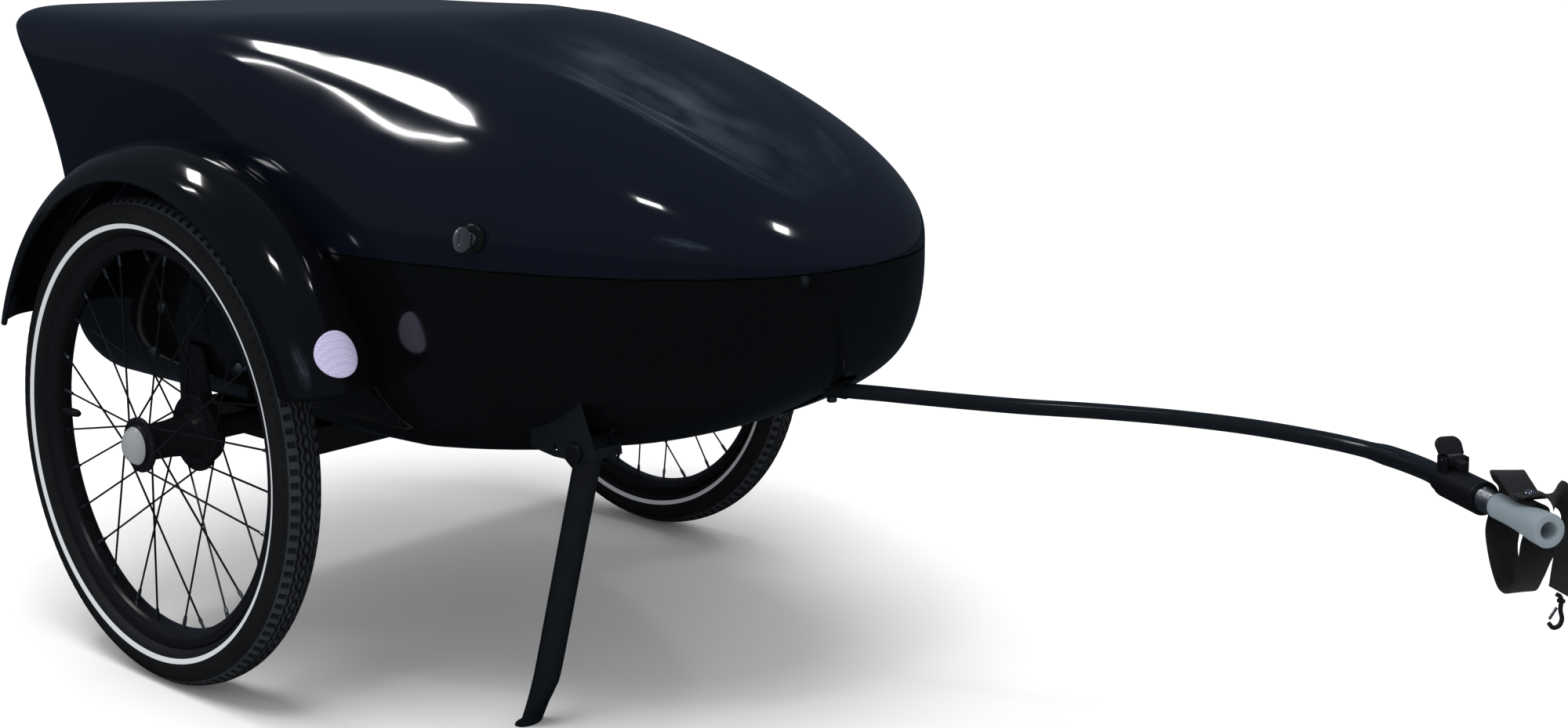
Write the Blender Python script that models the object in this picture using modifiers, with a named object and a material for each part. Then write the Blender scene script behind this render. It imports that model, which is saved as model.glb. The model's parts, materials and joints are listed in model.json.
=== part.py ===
"""Bicycle cargo trailer with a hinged hard lid, modelled piece by piece.

Metres. +Z is up, +X points towards the bicycle and +Y to the trailer's left. Shapes are written in a
frame on the ground under the axle, which the empty trailer_origin carries to its place.
"""

import math

import bmesh
import bpy
from mathutils import Matrix, Vector

# Wheels
TRACK = 0.690
TYRE_HALF_WIDTH = 0.0225
TYRE_WALL = 0.0035
RIM_RADIUS = 0.2093
TYRE_HEIGHT = 0.0407
WHEEL_RADIUS = RIM_RADIUS + TYRE_HEIGHT
RIM_HALF_WIDTH = 0.0135
RIM_WALL = 0.0015
RIM_DEPTH = 0.0153
RIM_SIDE = 0.0083
RIM_SIDE_TAPER = 0.0007
RIM_BED_HALF_WIDTH = 0.0095
BEAD_REACH = 0.0073
SPOKES_PER_SIDE = 14
SPOKE_CROSSES = 2
SPOKE_RADIUS = 0.0011
TUBE_SIDES = 5
WHEEL_STEPS = 32
VALVE_LENGTH = 0.030
VALVE_RADIUS = 0.0032
VALVE_TURNS = {"right": math.pi, "left": math.radians(82)}

# Hub, along the wheel's axis with the outer side positive
HUB_OUTER_END = 0.0300
HUB_INNER_END = 0.0520
OUTER_FLANGE_RADIUS = 0.0280
INNER_FLANGE_RADIUS = 0.0400
FLANGE_THICKNESS = 0.0040
OUTER_FLANGE_PLACE = 0.0250
INNER_FLANGE_PLACE = -0.0365
DRUM_RADIUS = 0.0345
BARREL_RADIUS = 0.0190
AXLE_RADIUS = 0.0060
BEARING_RADIUS = 0.0142
BEARING_WIDTH = 0.0080
NUT_HEIGHT = 0.0070
CAP_HEIGHT = 0.0102

# Body shell: plan outline, shared by tub and lid
WHEEL_ROOM = 0.058
HALF_WIDTH = TRACK / 2 - WHEEL_ROOM
REAR_X = -0.286
STRAIGHT_END = 0.083
NOSE_LENGTH = 0.562
NOSE_X = STRAIGHT_END + NOSE_LENGTH
PLAN_POWER = 2.36
PLAN_CORNER = 0.018
SEAM_GAP = 0.0020
LIP_WIDTH = 0.012
NOSE_STEPS = 9
SIDE_POINTS = 5

# Tub
TUB_DEPTH = 0.197
TUB_POWER_REAR = 6.5
TUB_POWER_MIDDLE = 3.2
TUB_POWER_NOSE = 2.6
TUB_POWER_START = 0.28
TUB_POWER_END = 0.40
FLOOR_OVER_AXLE = 0.0085
SEAM_Z = WHEEL_RADIUS + FLOOR_OVER_AXLE + TUB_DEPTH
TUB_WALL = 0.004
TUB_REAR_RADIUS = 0.050
BOW_RISE_START = 0.360
BOW_RISE = 1.289
BOW_ROUND_LENGTH = 0.045
BOW_ROUND_POWER = 2.5
CHANNEL_HALF_WIDTH = 0.016
CHANNEL_DRAFT = 0.002
CHANNEL_GAP = 0.004

# Lid
LID_HEIGHT = 0.2264
LID_WALL = 0.0035
LID_FALL_START = 0.2219
LID_FALL_POWER = 1.2
LID_FALL_ROOT = 1.385
LID_SLOPE = 0.0207
LID_REAR_LIFT = 0.0062
LID_REAR_RADIUS = 0.010
TAIL_LENGTH = 0.1149
TAIL_HEIGHT = 0.200
TAIL_REACH = 0.250
CREASE_START = 0.200
CREASE_LENGTH = 0.420
CREASE_HALF_WIDTH = 0.145
CREASE_DEPTH = 0.006
CREASE_RAMP = 0.013

# Underframe
FRAME_HALF_LENGTH = 0.106
FRAME_HALF_WIDTH = HALF_WIDTH - 0.052
CHANNEL_SIZE = 0.028
CHANNEL_WALL = 0.003
ARM_RADIUS = 0.012
ARM_GAP = 0.0022
ARM_END = TRACK / 2 - HUB_INNER_END - ARM_GAP
SOCKET_DEPTH = 0.045
SIDE_PLATE_REAR = -0.055
SIDE_PLATE_FRONT = -0.010
SIDE_PLATE_TOP = WHEEL_RADIUS + 0.085
SPINE_RADIUS = 0.0090
SPINE_START = -0.030
SPINE_RISE_START = 0.300
SPINE_RISE_END = 0.530
RECEIVER_END = 0.612
RECEIVER_DEPTH = 0.095
SADDLE_X = 0.235
SADDLE_LENGTH = 0.020

# Mudguards
GUARD_START = math.radians(17.4)
GUARD_END = math.radians(162)
GUARD_WALL = 0.0025
GUARD_STEPS = 16
GUARD_CREST = 0.3035
GUARD_REACH = 0.090
GUARD_CORNER = 0.012
REFLECTOR_RADIUS = 0.0225
REFLECTOR_THICKNESS = 0.0015
REFLECTOR_TURN = math.radians(24.3)
REFLECTOR_Y = TRACK / 2 - 0.016

# Parking stand
STAND_X = NOSE_X - 0.184
STAND_Y = 0.098 - HALF_WIDTH
STAND_DROP = 0.85025
STAND_Z = SEAM_Z - STAND_DROP * TUB_DEPTH
LEG_RADIUS = 0.0127
LEG_LEAN = 0.079
FOOT_RISE = 0.070
STAND_GRIP = 0.0300
CHEEK = 0.0025
STAND_BOLT_RADIUS = 0.0040
STAND_HEAD_RADIUS = 0.0095
SECOND_HOLE_BEHIND = 0.028

# Tow bar and coupling
TOW_Z = SEAM_Z - 0.1245
BAR_RADIUS = 0.00725
BAR_END_RADIUS = 0.00875
BAR_THICK_FROM = 1.095
HITCH_TIP = Vector((1.276, -0.010, TOW_Z))
HITCH_YAW = math.radians(-36.4)
HITCH_LENGTH = 0.1616
SOCKET_START = 0.020
SOCKET_LENGTH = 0.060
SOCKET_RADIUS = 0.0135
FERRULE_LENGTH = 0.0170
FERRULE_RADIUS = 0.0098
FERRULE_RIBS = 3
SPIGOT_RADIUS = 0.0078
SLEEVE_WAIST = 0.0100
SLEEVE_FLARE = 0.0130
SLEEVE_BORE = 0.0065
SLEEVE_EDGE = 0.0015
LATCH_S = 0.036
LATCH_HEIGHT = 0.0185
LATCH_PIN_RADIUS = 0.0020
TAB_WIDTH = 0.024
TAB_HEIGHT = 0.017
STRAP_WIDTH = 0.025
STRAP_THICKNESS = 0.0015

# Lock
LOCK_X = NOSE_X - 0.262
LOCK_Z = SEAM_Z + 0.0275
BEZEL_RADIUS = 0.0140
BARREL_LOCK_RADIUS = 0.0095
LOCK_FACE = 0.0052
LOCK_LENGTH = 0.0240
LOCK_NUT_GAP = 0.0040
PLUG_RADIUS = 0.0065
KEY_HEAD_HEIGHT = 0.023
KEY_HEAD_REACH = 0.022
KEY_THICKNESS = 0.0034
CAM_LENGTH = 0.0385
CAM_PLACE = 0.0285
CAM_WIDTH = 0.0080
CAM_THICKNESS = 0.0025
PLUG_STUB = 0.0034
STRIKE_THICKNESS = 0.0030

# Hinges
HINGE_Y = 0.160
HINGE_OFFSET = 0.0060
HINGE_WIDTH = 0.050
KNUCKLE_RADIUS = 0.0045
HINGE_PIN_RADIUS = 0.0022
LEAF_HEIGHT = 0.028
LEAF_THICKNESS = 0.0025

# Clearances
SEAT = 0.0003
RUN = 0.0005
ROUND = 16
SIDES = {"right": -1, "left": 1}

SIDE_BOLTS = ((-0.090, SEAM_Z - 0.0885), (-0.117, SEAM_Z - 0.1410), (0.044, SEAM_Z - 0.1365))
SIDE_BOLT_RADIUS = 0.0030
SIDE_BOLT_HEAD = 0.0070
SIDE_NUT_GAP = 0.0045


def clear_scene():
    for old in list(bpy.data.objects):
        bpy.data.objects.remove(old)


def new_collection(name):
    collection = bpy.data.collections.new(name)
    bpy.context.scene.collection.children.link(collection)
    return collection


def new_material(name, colour, roughness, metallic=0.0):
    material = bpy.data.materials.new(name)
    material.use_nodes = True
    shader = material.node_tree.nodes["Principled BSDF"]
    shader.inputs["Base Color"].default_value = (*colour, 1)
    shader.inputs["Roughness"].default_value = roughness
    shader.inputs["Metallic"].default_value = metallic
    return material


def place(obj, parent, location=(0, 0, 0), rotation=(0, 0, 0)):
    """Hangs an object on an empty, at a place and a turn in the empty's own frame."""
    obj.parent = parent
    obj.location = location
    obj.rotation_euler = rotation
    return obj


def new_part(name, data, material, parent, location=(0, 0, 0), rotation=(0, 0, 0)):
    obj = bpy.data.objects.new(name, data)
    parts.objects.link(obj)
    if not data.materials:
        data.materials.append(material)
    return place(obj, parent, location, rotation)


def new_cutter(name, data, parent, location=(0, 0, 0), rotation=(0, 0, 0)):
    """A shape that only cuts or is joined to another: it is never a piece of its own."""
    obj = bpy.data.objects.new(name, data)
    cutters.objects.link(obj)
    obj.hide_render = True
    obj.display_type = "WIRE"
    return place(obj, parent, location, rotation)


def new_pivot(name, parent, location, rotation=(0, 0, 0)):
    pivot = bpy.data.objects.new(name, None)
    parts.objects.link(pivot)
    pivot.empty_display_size = 0.03
    return place(pivot, parent, location, rotation)


def boolean(target, tool, operation="DIFFERENCE"):
    modifier = target.modifiers.new(tool.name, "BOOLEAN")
    modifier.operation = operation
    modifier.object = tool


def join(target, tool):
    boolean(target, tool, "UNION")


def finished(bm, name):
    """Turns a bmesh into a smooth-shaded mesh with sharp edges where faces meet steeply."""
    mesh = bpy.data.meshes.new(name)
    bm.to_mesh(mesh)
    bm.free()
    mesh.shade_smooth()
    mesh.set_sharp_from_angle(angle=math.radians(35))
    return mesh


def box_mesh(name, low, high):
    """A box between two corners."""
    bm = bmesh.new()
    size = [b - a for a, b in zip(low, high)]
    middle = [(a + b) / 2 for a, b in zip(low, high)]
    matrix = Matrix.Translation(middle) @ Matrix.Diagonal((*size, 1))
    bmesh.ops.create_cube(bm, size=1, matrix=matrix)
    return finished(bm, name)


def rod_mesh(name, start, end, radius, steps=12, end_radius=None):
    """A round bar between two points, tapered where an end radius is given."""
    start, end = Vector(start), Vector(end)
    bm = bmesh.new()
    turn = (end - start).to_track_quat("Z", "Y").to_matrix().to_4x4()
    matrix = Matrix.Translation((start + end) / 2) @ turn
    far = radius if end_radius is None else end_radius
    bmesh.ops.create_cone(bm, cap_ends=True, segments=steps, radius1=radius, radius2=far,
                          depth=(end - start).length, matrix=matrix)
    return finished(bm, name)


def profile_mesh(name, profile, closed):
    """A turned piece's profile, (radius, height) pairs in the XZ plane."""
    mesh = bpy.data.meshes.new(name)
    edges = [(i, i + 1) for i in range(len(profile) - 1)]
    if closed:
        edges.append((len(profile) - 1, 0))
    mesh.from_pydata([(radius, 0, height) for radius, height in profile], edges, [])
    return mesh


def turn_profile(obj, steps):
    modifier = obj.modifiers.new("turned", "SCREW")
    modifier.axis = "Z"
    modifier.steps = steps
    modifier.render_steps = steps
    modifier.use_merge_vertices = True
    modifier.merge_threshold = 0.00002
    modifier.use_smooth_shade = True
    return obj


def turned(name, profile, material, parent, location=(0, 0, 0), rotation=(0, 0, 0), steps=ROUND,
           closed=True):
    """A turned piece. Its profile runs down the outer side, and a closed one back up the bore."""
    mesh = profile_mesh(name, profile, closed)
    return turn_profile(new_part(name, mesh, material, parent, location, rotation), steps)


def turned_cutter(name, profile, parent, location=(0, 0, 0), rotation=(0, 0, 0), steps=ROUND, closed=True):
    mesh = profile_mesh(name, profile, closed)
    return turn_profile(new_cutter(name, mesh, parent, location, rotation), steps)


def hole_radius(radius, steps):
    """The corner radius of a hole whose flats still clear a round bar of this radius."""
    return (radius + SEAT) / math.cos(math.pi / steps)


def plate_curve(name, outlines, thickness):
    """A flat piece from closed outlines in its XY plane, inner ones being holes."""
    curve = bpy.data.curves.new(name, "CURVE")
    curve.dimensions = "2D"
    curve.fill_mode = "BOTH"
    curve.extrude = thickness / 2
    for outline in outlines:
        spline = curve.splines.new("POLY")
        spline.points.add(len(outline) - 1)
        for point, (x, y) in zip(spline.points, outline):
            point.co = (x, y, 0, 1)
        spline.use_cyclic_u = True
    return curve


def tube_curve(name, points, radius, resolution=2, factors=None):
    curve = bpy.data.curves.new(name, "CURVE")
    curve.dimensions = "3D"
    curve.bevel_depth = radius
    curve.bevel_resolution = resolution
    curve.use_fill_caps = True
    spline = curve.splines.new("POLY")
    spline.points.add(len(points) - 1)
    for index, point in enumerate(spline.points):
        point.co = (*points[index], 1)
        if factors:
            point.radius = factors[index]
    return curve


def mesh_of_curve(curve):
    """The solid of a curve as a welded mesh, so that it can be cut or joined."""
    holder = bpy.data.objects.new(curve.name, curve)
    parts.objects.link(holder)
    bpy.context.view_layer.update()
    graph = bpy.context.evaluated_depsgraph_get()
    mesh = bpy.data.meshes.new_from_object(holder.evaluated_get(graph))
    name = curve.name
    bpy.data.objects.remove(holder)
    bm = bmesh.new()
    bm.from_mesh(mesh)
    bmesh.ops.remove_doubles(bm, verts=bm.verts, dist=0.00001)
    bmesh.ops.recalc_face_normals(bm, faces=bm.faces)
    return finished(bm, name)


def circle(radius, steps=ROUND, centre=(0, 0), start=0.0, end=2 * math.pi, whole=True):
    """Points of a circle, or of an arc with both of its ends."""
    last = steps if whole else steps - 1
    angles = [start + (end - start) * i / last for i in range(steps)]
    return [(centre[0] + radius * math.cos(a), centre[1] + radius * math.sin(a)) for a in angles]


def smooth_path(route, per_span):
    """A smooth curve through the route's points, which it passes exactly."""
    ends = [route[0] * 2 - route[1], *route, route[-1] * 2 - route[-2]]
    points = []
    for before, here, there, after in zip(ends, ends[1:], ends[2:], ends[3:]):
        for step in range(per_span):
            t = step / per_span
            bend = (before * 2 - here * 5 + there * 4 - after) * t * t
            twist = (here * 3 - before - there * 3 + after) * t ** 3
            points.append((here * 2 + (there - before) * t + bend + twist) / 2)
    return [*points, route[-1].copy()]


def smooth_step(value):
    value = min(max(value, 0.0), 1.0)
    return value * value * (3 - 2 * value)


# Body surfaces


def corner_inset(distance, radius):
    """How far a rounded edge draws in at this distance from the face behind it."""
    if distance >= radius:
        return 0.0
    return radius - math.sqrt(radius ** 2 - (radius - distance) ** 2)


def plan_half_width(x):
    reach = min(max(0.0, (x - STRAIGHT_END) / NOSE_LENGTH), 1.0)
    width = HALF_WIDTH * (1 - reach ** PLAN_POWER) ** (1 / PLAN_POWER)
    return width - corner_inset(x - REAR_X, PLAN_CORNER)


def shared_stations():
    """Places along the length that tub and lid both use: the rear corner, then the rounded nose."""
    corner = [REAR_X + PLAN_CORNER * (1 - math.cos(math.radians(turn))) for turn in (0, 30, 60, 90)]
    reach = [math.sin(math.pi / 2 * step / NOSE_STEPS) ** (2 / PLAN_POWER) for step in range(NOSE_STEPS + 1)]
    return corner, [STRAIGHT_END + NOSE_LENGTH * share for share in reach]


def spine_height(x):
    low = SEAM_Z - TUB_DEPTH - SEAT - CHANNEL_SIZE / 2
    share = smooth_step((x - SPINE_RISE_START) / (SPINE_RISE_END - SPINE_RISE_START))
    return low + (TOW_Z - low) * share


def tub_depth(x):
    rise = BOW_RISE * max(0.0, x - BOW_RISE_START) ** 2
    nose = NOSE_X
    turn = min(max(0.0, 1 - (nose - x) / BOW_ROUND_LENGTH), 1.0)
    depth = (TUB_DEPTH - rise) * (1 - turn ** BOW_ROUND_POWER) ** (1 / BOW_ROUND_POWER)
    return depth - corner_inset(x - REAR_X, TUB_REAR_RADIUS)


def between(value, low, high, at_low, at_high):
    share = min(max((value - low) / (high - low), 0.0), 1.0)
    return at_low + (at_high - at_low) * share


def tub_power(x):
    """How boxy the tub's section is: square at the back, rounder towards the bow."""
    if x < TUB_POWER_END:
        return between(x, TUB_POWER_START, TUB_POWER_END, TUB_POWER_REAR, TUB_POWER_MIDDLE)
    return between(x, TUB_POWER_END, NOSE_X, TUB_POWER_MIDDLE, TUB_POWER_NOSE)


def tub_section(x):
    """Half a section, from the seam down to the keel, with the channel for the spine cut up into it."""
    width, depth, power = plan_half_width(x), tub_depth(x), tub_power(x)
    diagonal = 0.5 ** (1 / power)
    top = SEAM_Z - SEAM_GAP / 2
    points = []
    for share in (0, 0.38, 0.70, 0.90, 1):
        drop = share * diagonal
        points.append((width * (1 - drop ** power) ** (1 / power), top - depth * drop))
    for share in (0.80, 0.45):
        across = share * diagonal
        points.append((width * across, top - depth * (1 - across ** power) ** (1 / power)))
    keel = top - depth
    roof = keel
    if x >= SPINE_RISE_START:
        roof = max(keel, spine_height(x) + SPINE_RADIUS + CHANNEL_GAP)
    half = min(CHANNEL_HALF_WIDTH, width * 0.3)
    inner = min(CHANNEL_HALF_WIDTH - CHANNEL_DRAFT, half)
    points += [(half, keel), (inner, roof), (0.0, roof)]
    return [Vector((x, y, z)) for y, z in points]


def lid_height(x):
    end = NOSE_X
    fall = min(max((x - LID_FALL_START) / (end - LID_FALL_START), 0.0), 1.0)
    near_tail = tail_share(x)
    height = LID_HEIGHT + LID_SLOPE * (x - LID_FALL_START) + LID_REAR_LIFT * near_tail ** 2
    height *= (1 - fall ** LID_FALL_POWER) ** (1 / LID_FALL_ROOT)
    return height - corner_inset(x - REAR_X, LID_REAR_RADIUS)


def tail_share(x):
    return min(max(1 - (x - REAR_X) / TAIL_REACH, 0.0), 1.0)


def lid_power(x):
    if x < CREASE_START:
        return between(x, REAR_X, CREASE_START, 14.0, 2.052)
    return between(x, CREASE_START, NOSE_X, 2.052, 3.035)


def crease_half_width(x):
    share = min(max((x - CREASE_START) / CREASE_LENGTH, 0.0), 1.0)
    return CREASE_HALF_WIDTH * math.sqrt(1 - share ** 2)


def crease_dip(x):
    """The bonnet's dip fades in behind the crease's start and out before its tip."""
    fade_in = smooth_step((x - CREASE_START + 0.08) / 0.16)
    fade_out = smooth_step((CREASE_START + CREASE_LENGTH - x) / 0.10)
    return CREASE_DEPTH * fade_in * fade_out


def lid_section(x):
    """Half a section, from the seam up over the shoulder and across the crease to the middle."""
    width, height, power = plan_half_width(x), lid_height(x), lid_power(x)
    diagonal = 0.5 ** (1 / power)
    points = []
    for share in (0, 0.25, 0.58, 0.82, 1):
        rise = share * diagonal
        points.append((width * (1 - rise ** power) ** (1 / power), height * rise))
    crease = min(crease_half_width(x), width * diagonal * 0.8)
    ramp = max(crease - CREASE_RAMP, crease * 0.6)
    shoulder = width * diagonal * 0.86
    for across, dip in ((shoulder, 0), ((shoulder + crease) / 2, 0), (crease, 0), (ramp, 1), (0.0, 0.6)):
        share = across / width if width > 0 else 0.0
        points.append((across, height * (1 - share ** power) ** (1 / power) - dip * crease_dip(x)))
    near_tail = tail_share(x)
    section = []
    for y, rise in points:
        lean = TAIL_LENGTH * near_tail ** 1.5 * min(max(rise / TAIL_HEIGHT, 0), 1) ** 1.6
        section.append(Vector((x - lean, y, SEAM_Z + SEAM_GAP / 2 + rise)))
    return section


def lid_point(x, rise):
    """A point on the lid's right side, before the tail's lean, at this height over the seam."""
    width, height, power = plan_half_width(x), lid_height(x), lid_power(x)
    across = width * (1 - (rise / height) ** power) ** (1 / power)
    return Vector((x, -across, SEAM_Z + SEAM_GAP / 2 + rise))


def inset_line(line, distance):
    """A line beside the half outline of the seam, moved inwards and still ending on the middle plane."""
    inset = []
    for index, point in enumerate(line):
        before = line[index - 1] if index else Vector((point.x, -point.y - 1, 0))
        after = line[index + 1] if index + 1 < len(line) else Vector((point.x, -point.y - 1, 0))
        if index == 0:
            normal = Vector((1, 0, 0))
            inset.append(point + normal * distance)
            continue
        if index == len(line) - 1:
            inset.append(point - Vector((1, 0, 0)) * distance)
            continue
        first = (point - before).normalized()
        second = (after - point).normalized()
        normals = [Vector((d.y, -d.x, 0)) for d in (first, second)]
        middle = (normals[0] + normals[1]).normalized()
        inset.append(point + middle * distance / max(middle.dot(normals[0]), 0.5))
    return inset


def seam_line(sections):
    """The half outline at the seam, from the middle of the rear to the nose."""
    start = Vector((sections[0][0].x, 0, sections[0][0].z))
    return [start] + [section[0] for section in sections]


def skin_half(bm, sections):
    """Faces of half a skin, with its flat rear face. It gives back the rows of vertices, rear one first."""
    rear = [Vector((point.x, 0, point.z)) for point in sections[0][:SIDE_POINTS]]
    rows = [[bm.verts.new(point) for point in row] for row in (rear, *sections)]
    for row, following in zip(rows, rows[1:]):
        for a, b, c, d in zip(row, following, following[1:], row[1:]):
            bm.faces.new((a, b, c, d))
    bm.faces.new((rows[0][-1], *rows[1][SIDE_POINTS - 1:]))
    return rows


def shell_mesh(sections):
    """Half a shell as an open surface: sides, the flat rear face and an inward lip along the seam."""
    bm = bmesh.new()
    rows = skin_half(bm, sections)
    lip = [bm.verts.new(point) for point in inset_line(seam_line(sections), LIP_WIDTH)]
    for (row, following), (inner, next_inner) in zip(zip(rows, rows[1:]), zip(lip, lip[1:])):
        bm.faces.new((inner, next_inner, following[0], row[0]))
    bmesh.ops.remove_doubles(bm, verts=bm.verts, dist=0.00002)
    return bm


def facing_out(bm):
    """Makes the faces agree, and turns them all if the one farthest to the side looks inwards."""
    bmesh.ops.recalc_face_normals(bm, faces=bm.faces)
    side = max(bm.faces, key=lambda face: (round(abs(face.normal.y), 3), face.calc_center_median().y))
    if side.normal.y < 0:
        bmesh.ops.reverse_faces(bm, faces=bm.faces)
    return bm


def add_mirror(obj):
    modifier = obj.modifiers.new("other half", "MIRROR")
    modifier.use_axis = (False, True, False)
    modifier.merge_threshold = 0.00005


def add_wall(obj, thickness, offset=-1.0):
    modifier = obj.modifiers.new("wall", "SOLIDIFY")
    modifier.thickness = thickness
    modifier.offset = offset
    modifier.use_even_offset = True


def volume_cutter(name, sections, parent, location):
    """The space inside a shell and a seat's clearance around it, for trimming what is mounted on it."""
    bm = bmesh.new()
    rows = skin_half(bm, sections)
    floor = [bm.verts.new((row[0].co.x, 0, row[0].co.z)) for row in rows]
    for index in range(1, len(rows)):
        a, b = rows[index - 1][0], rows[index][0]
        bm.faces.new((a, floor[index - 1], floor[index], b))
    bmesh.ops.remove_doubles(bm, verts=bm.verts, dist=0.00002)
    facing_out(bm)
    bmesh.ops.mirror(bm, geom=bm.verts[:] + bm.edges[:] + bm.faces[:], axis="Y", merge_dist=0.00005)
    bmesh.ops.remove_doubles(bm, verts=bm.verts, dist=0.00002)
    bmesh.ops.recalc_face_normals(bm, faces=bm.faces)
    obj = new_cutter(name, finished(bm, name), parent, location)
    grown = obj.modifiers.new("clearance", "DISPLACE")
    grown.strength = SEAT
    grown.mid_level = 0.0
    return obj


def tub_stations():
    corner, nose = shared_stations()
    radius_steps = [REAR_X + TUB_REAR_RADIUS * share for share in (0.6, 1.0)]
    return corner + radius_steps + [-0.16, -0.04] + nose


def lid_stations():
    corner, nose = shared_stations()
    return corner + [-0.250, -0.215, -0.180, -0.140, -0.095, -0.036, 0.022] + nose


def build_tub(root):
    sections = [tub_section(x) for x in tub_stations()]
    mesh = finished(facing_out(shell_mesh(sections)), "tub")
    tub = new_part("tub", mesh, black_gloss, root)
    add_mirror(tub)
    add_wall(tub, TUB_WALL)
    for side, sign in SIDES.items():
        for number, (x, z) in enumerate(SIDE_BOLTS, 1):
            near, far = sign * (HALF_WIDTH - 0.09), sign * (HALF_WIDTH + 0.03)
            hole = rod_mesh("bolt_hole", (x, near, z), (x, far, z), SIDE_BOLT_RADIUS + SEAT, 8)
            boolean(tub, new_cutter(f"bolt_hole_{side}_{number}", hole, root))
    volume_cutter("tub_space", sections, root, (0, 0, 0))
    return tub


def build_seal(root):
    """A flat rubber ring that lies on the tub's lip, under the lid's lip."""
    sections = [lid_section(x) for x in lid_stations()]
    line = seam_line(sections)
    outlines = []
    for inset in (0.002, LIP_WIDTH - 0.002):
        half = [(point.x, point.y) for point in inset_line(line, inset)]
        outlines.append(half + [(x, -y) for x, y in reversed(half[1:-1])])
    curve = plate_curve("tub_seal", outlines, SEAM_GAP - 2 * SEAT)
    return new_part("tub_seal", mesh_of_curve(curve), rubber, root, (0, 0, SEAM_Z))


def build_lid(hinge, lock):
    sections = [lid_section(x) for x in lid_stations()]
    mesh = finished(facing_out(shell_mesh(sections)), "lid")
    lid = new_part("lid", mesh, navy_gloss, hinge, -hinge.location)
    add_mirror(lid)
    add_wall(lid, LID_WALL)
    hole = rod_mesh("lock_hole", (0, 0, -0.03), (0, 0, 0.03), BARREL_LOCK_RADIUS + SEAT, ROUND)
    boolean(lid, new_cutter("lock_hole", hole, lock))
    volume_cutter("lid_space", sections, hinge, -hinge.location)
    return lid


# Hinges, on the rear face at the seam


def knuckle(name, parent, y_from, y_to, radius):
    mesh = rod_mesh(name, (0, y_from, 0), (0, y_to, 0), radius, 10)
    return new_cutter(name, mesh, parent)


def build_hinge(side, sign, root, hinge):
    """One hinge: the tub's leaf with two knuckles and its pin, and the lid's leaf with the middle one."""
    middle = sign * HINGE_Y
    third = HINGE_WIDTH / 6
    ends = [(middle - 3 * third, middle - third - RUN / 2), (middle + third + RUN / 2, middle + 3 * third)]
    face = HINGE_OFFSET - SEAT
    axis = hinge.location
    low = (face - LEAF_THICKNESS, middle - 3 * third, -LEAF_HEIGHT - KNUCKLE_RADIUS)
    high = (face, middle + 3 * third, -0.002)
    leaf = new_part(f"hinge_tub_{side}", box_mesh("leaf", low, high), zinc, root, axis)
    notch_low = (-0.02, middle - third - RUN / 2, -KNUCKLE_RADIUS - RUN)
    notch_high = (0.02, middle + third + RUN / 2, 0.02)
    boolean(leaf, new_cutter(f"leaf_notch_{side}", box_mesh("notch", notch_low, notch_high), root, axis))
    for number, (y_from, y_to) in enumerate(ends, 1):
        tool = knuckle(f"tub_knuckle_{side}_{number}", root, y_from, y_to, KNUCKLE_RADIUS)
        tool.location = axis
        join(leaf, tool)
    reach = 3 * third + 0.001
    pin = knuckle(f"pin_{side}", root, middle - reach, middle + reach, HINGE_PIN_RADIUS)
    pin.location = axis
    join(leaf, pin)

    low = (face - LEAF_THICKNESS, middle - 3 * third, KNUCKLE_RADIUS + RUN)
    high = (face + 0.004, middle + 3 * third, LEAF_HEIGHT)
    upper = new_part(f"hinge_lid_{side}", box_mesh("leaf", low, high), zinc, hinge)
    lean = math.atan2(lid_rear_lean(LEAF_HEIGHT), LEAF_HEIGHT)
    upper.rotation_euler = (0, -lean, 0)
    tongue = box_mesh("tongue", (face - LEAF_THICKNESS - 0.0005, middle - third + RUN / 2, 0),
                      (face - 0.0004, middle + third - RUN / 2, 0.010))
    join(upper, new_cutter(f"tongue_{side}", tongue, hinge))
    boolean(upper, bpy.data.objects["lid_space"])
    join(upper, knuckle(f"lid_knuckle_{side}", hinge, middle - third + RUN / 2, middle + third - RUN / 2,
                        KNUCKLE_RADIUS))
    bore = knuckle(f"lid_bore_{side}", hinge, middle - 2 * third, middle + 2 * third, HINGE_PIN_RADIUS + RUN)
    boolean(upper, bore)


def lid_rear_lean(rise):
    return TAIL_LENGTH * (rise / TAIL_HEIGHT) ** 1.6


# Lock, in a frame with X along the side, Y up and Z straight out of the lid


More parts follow.
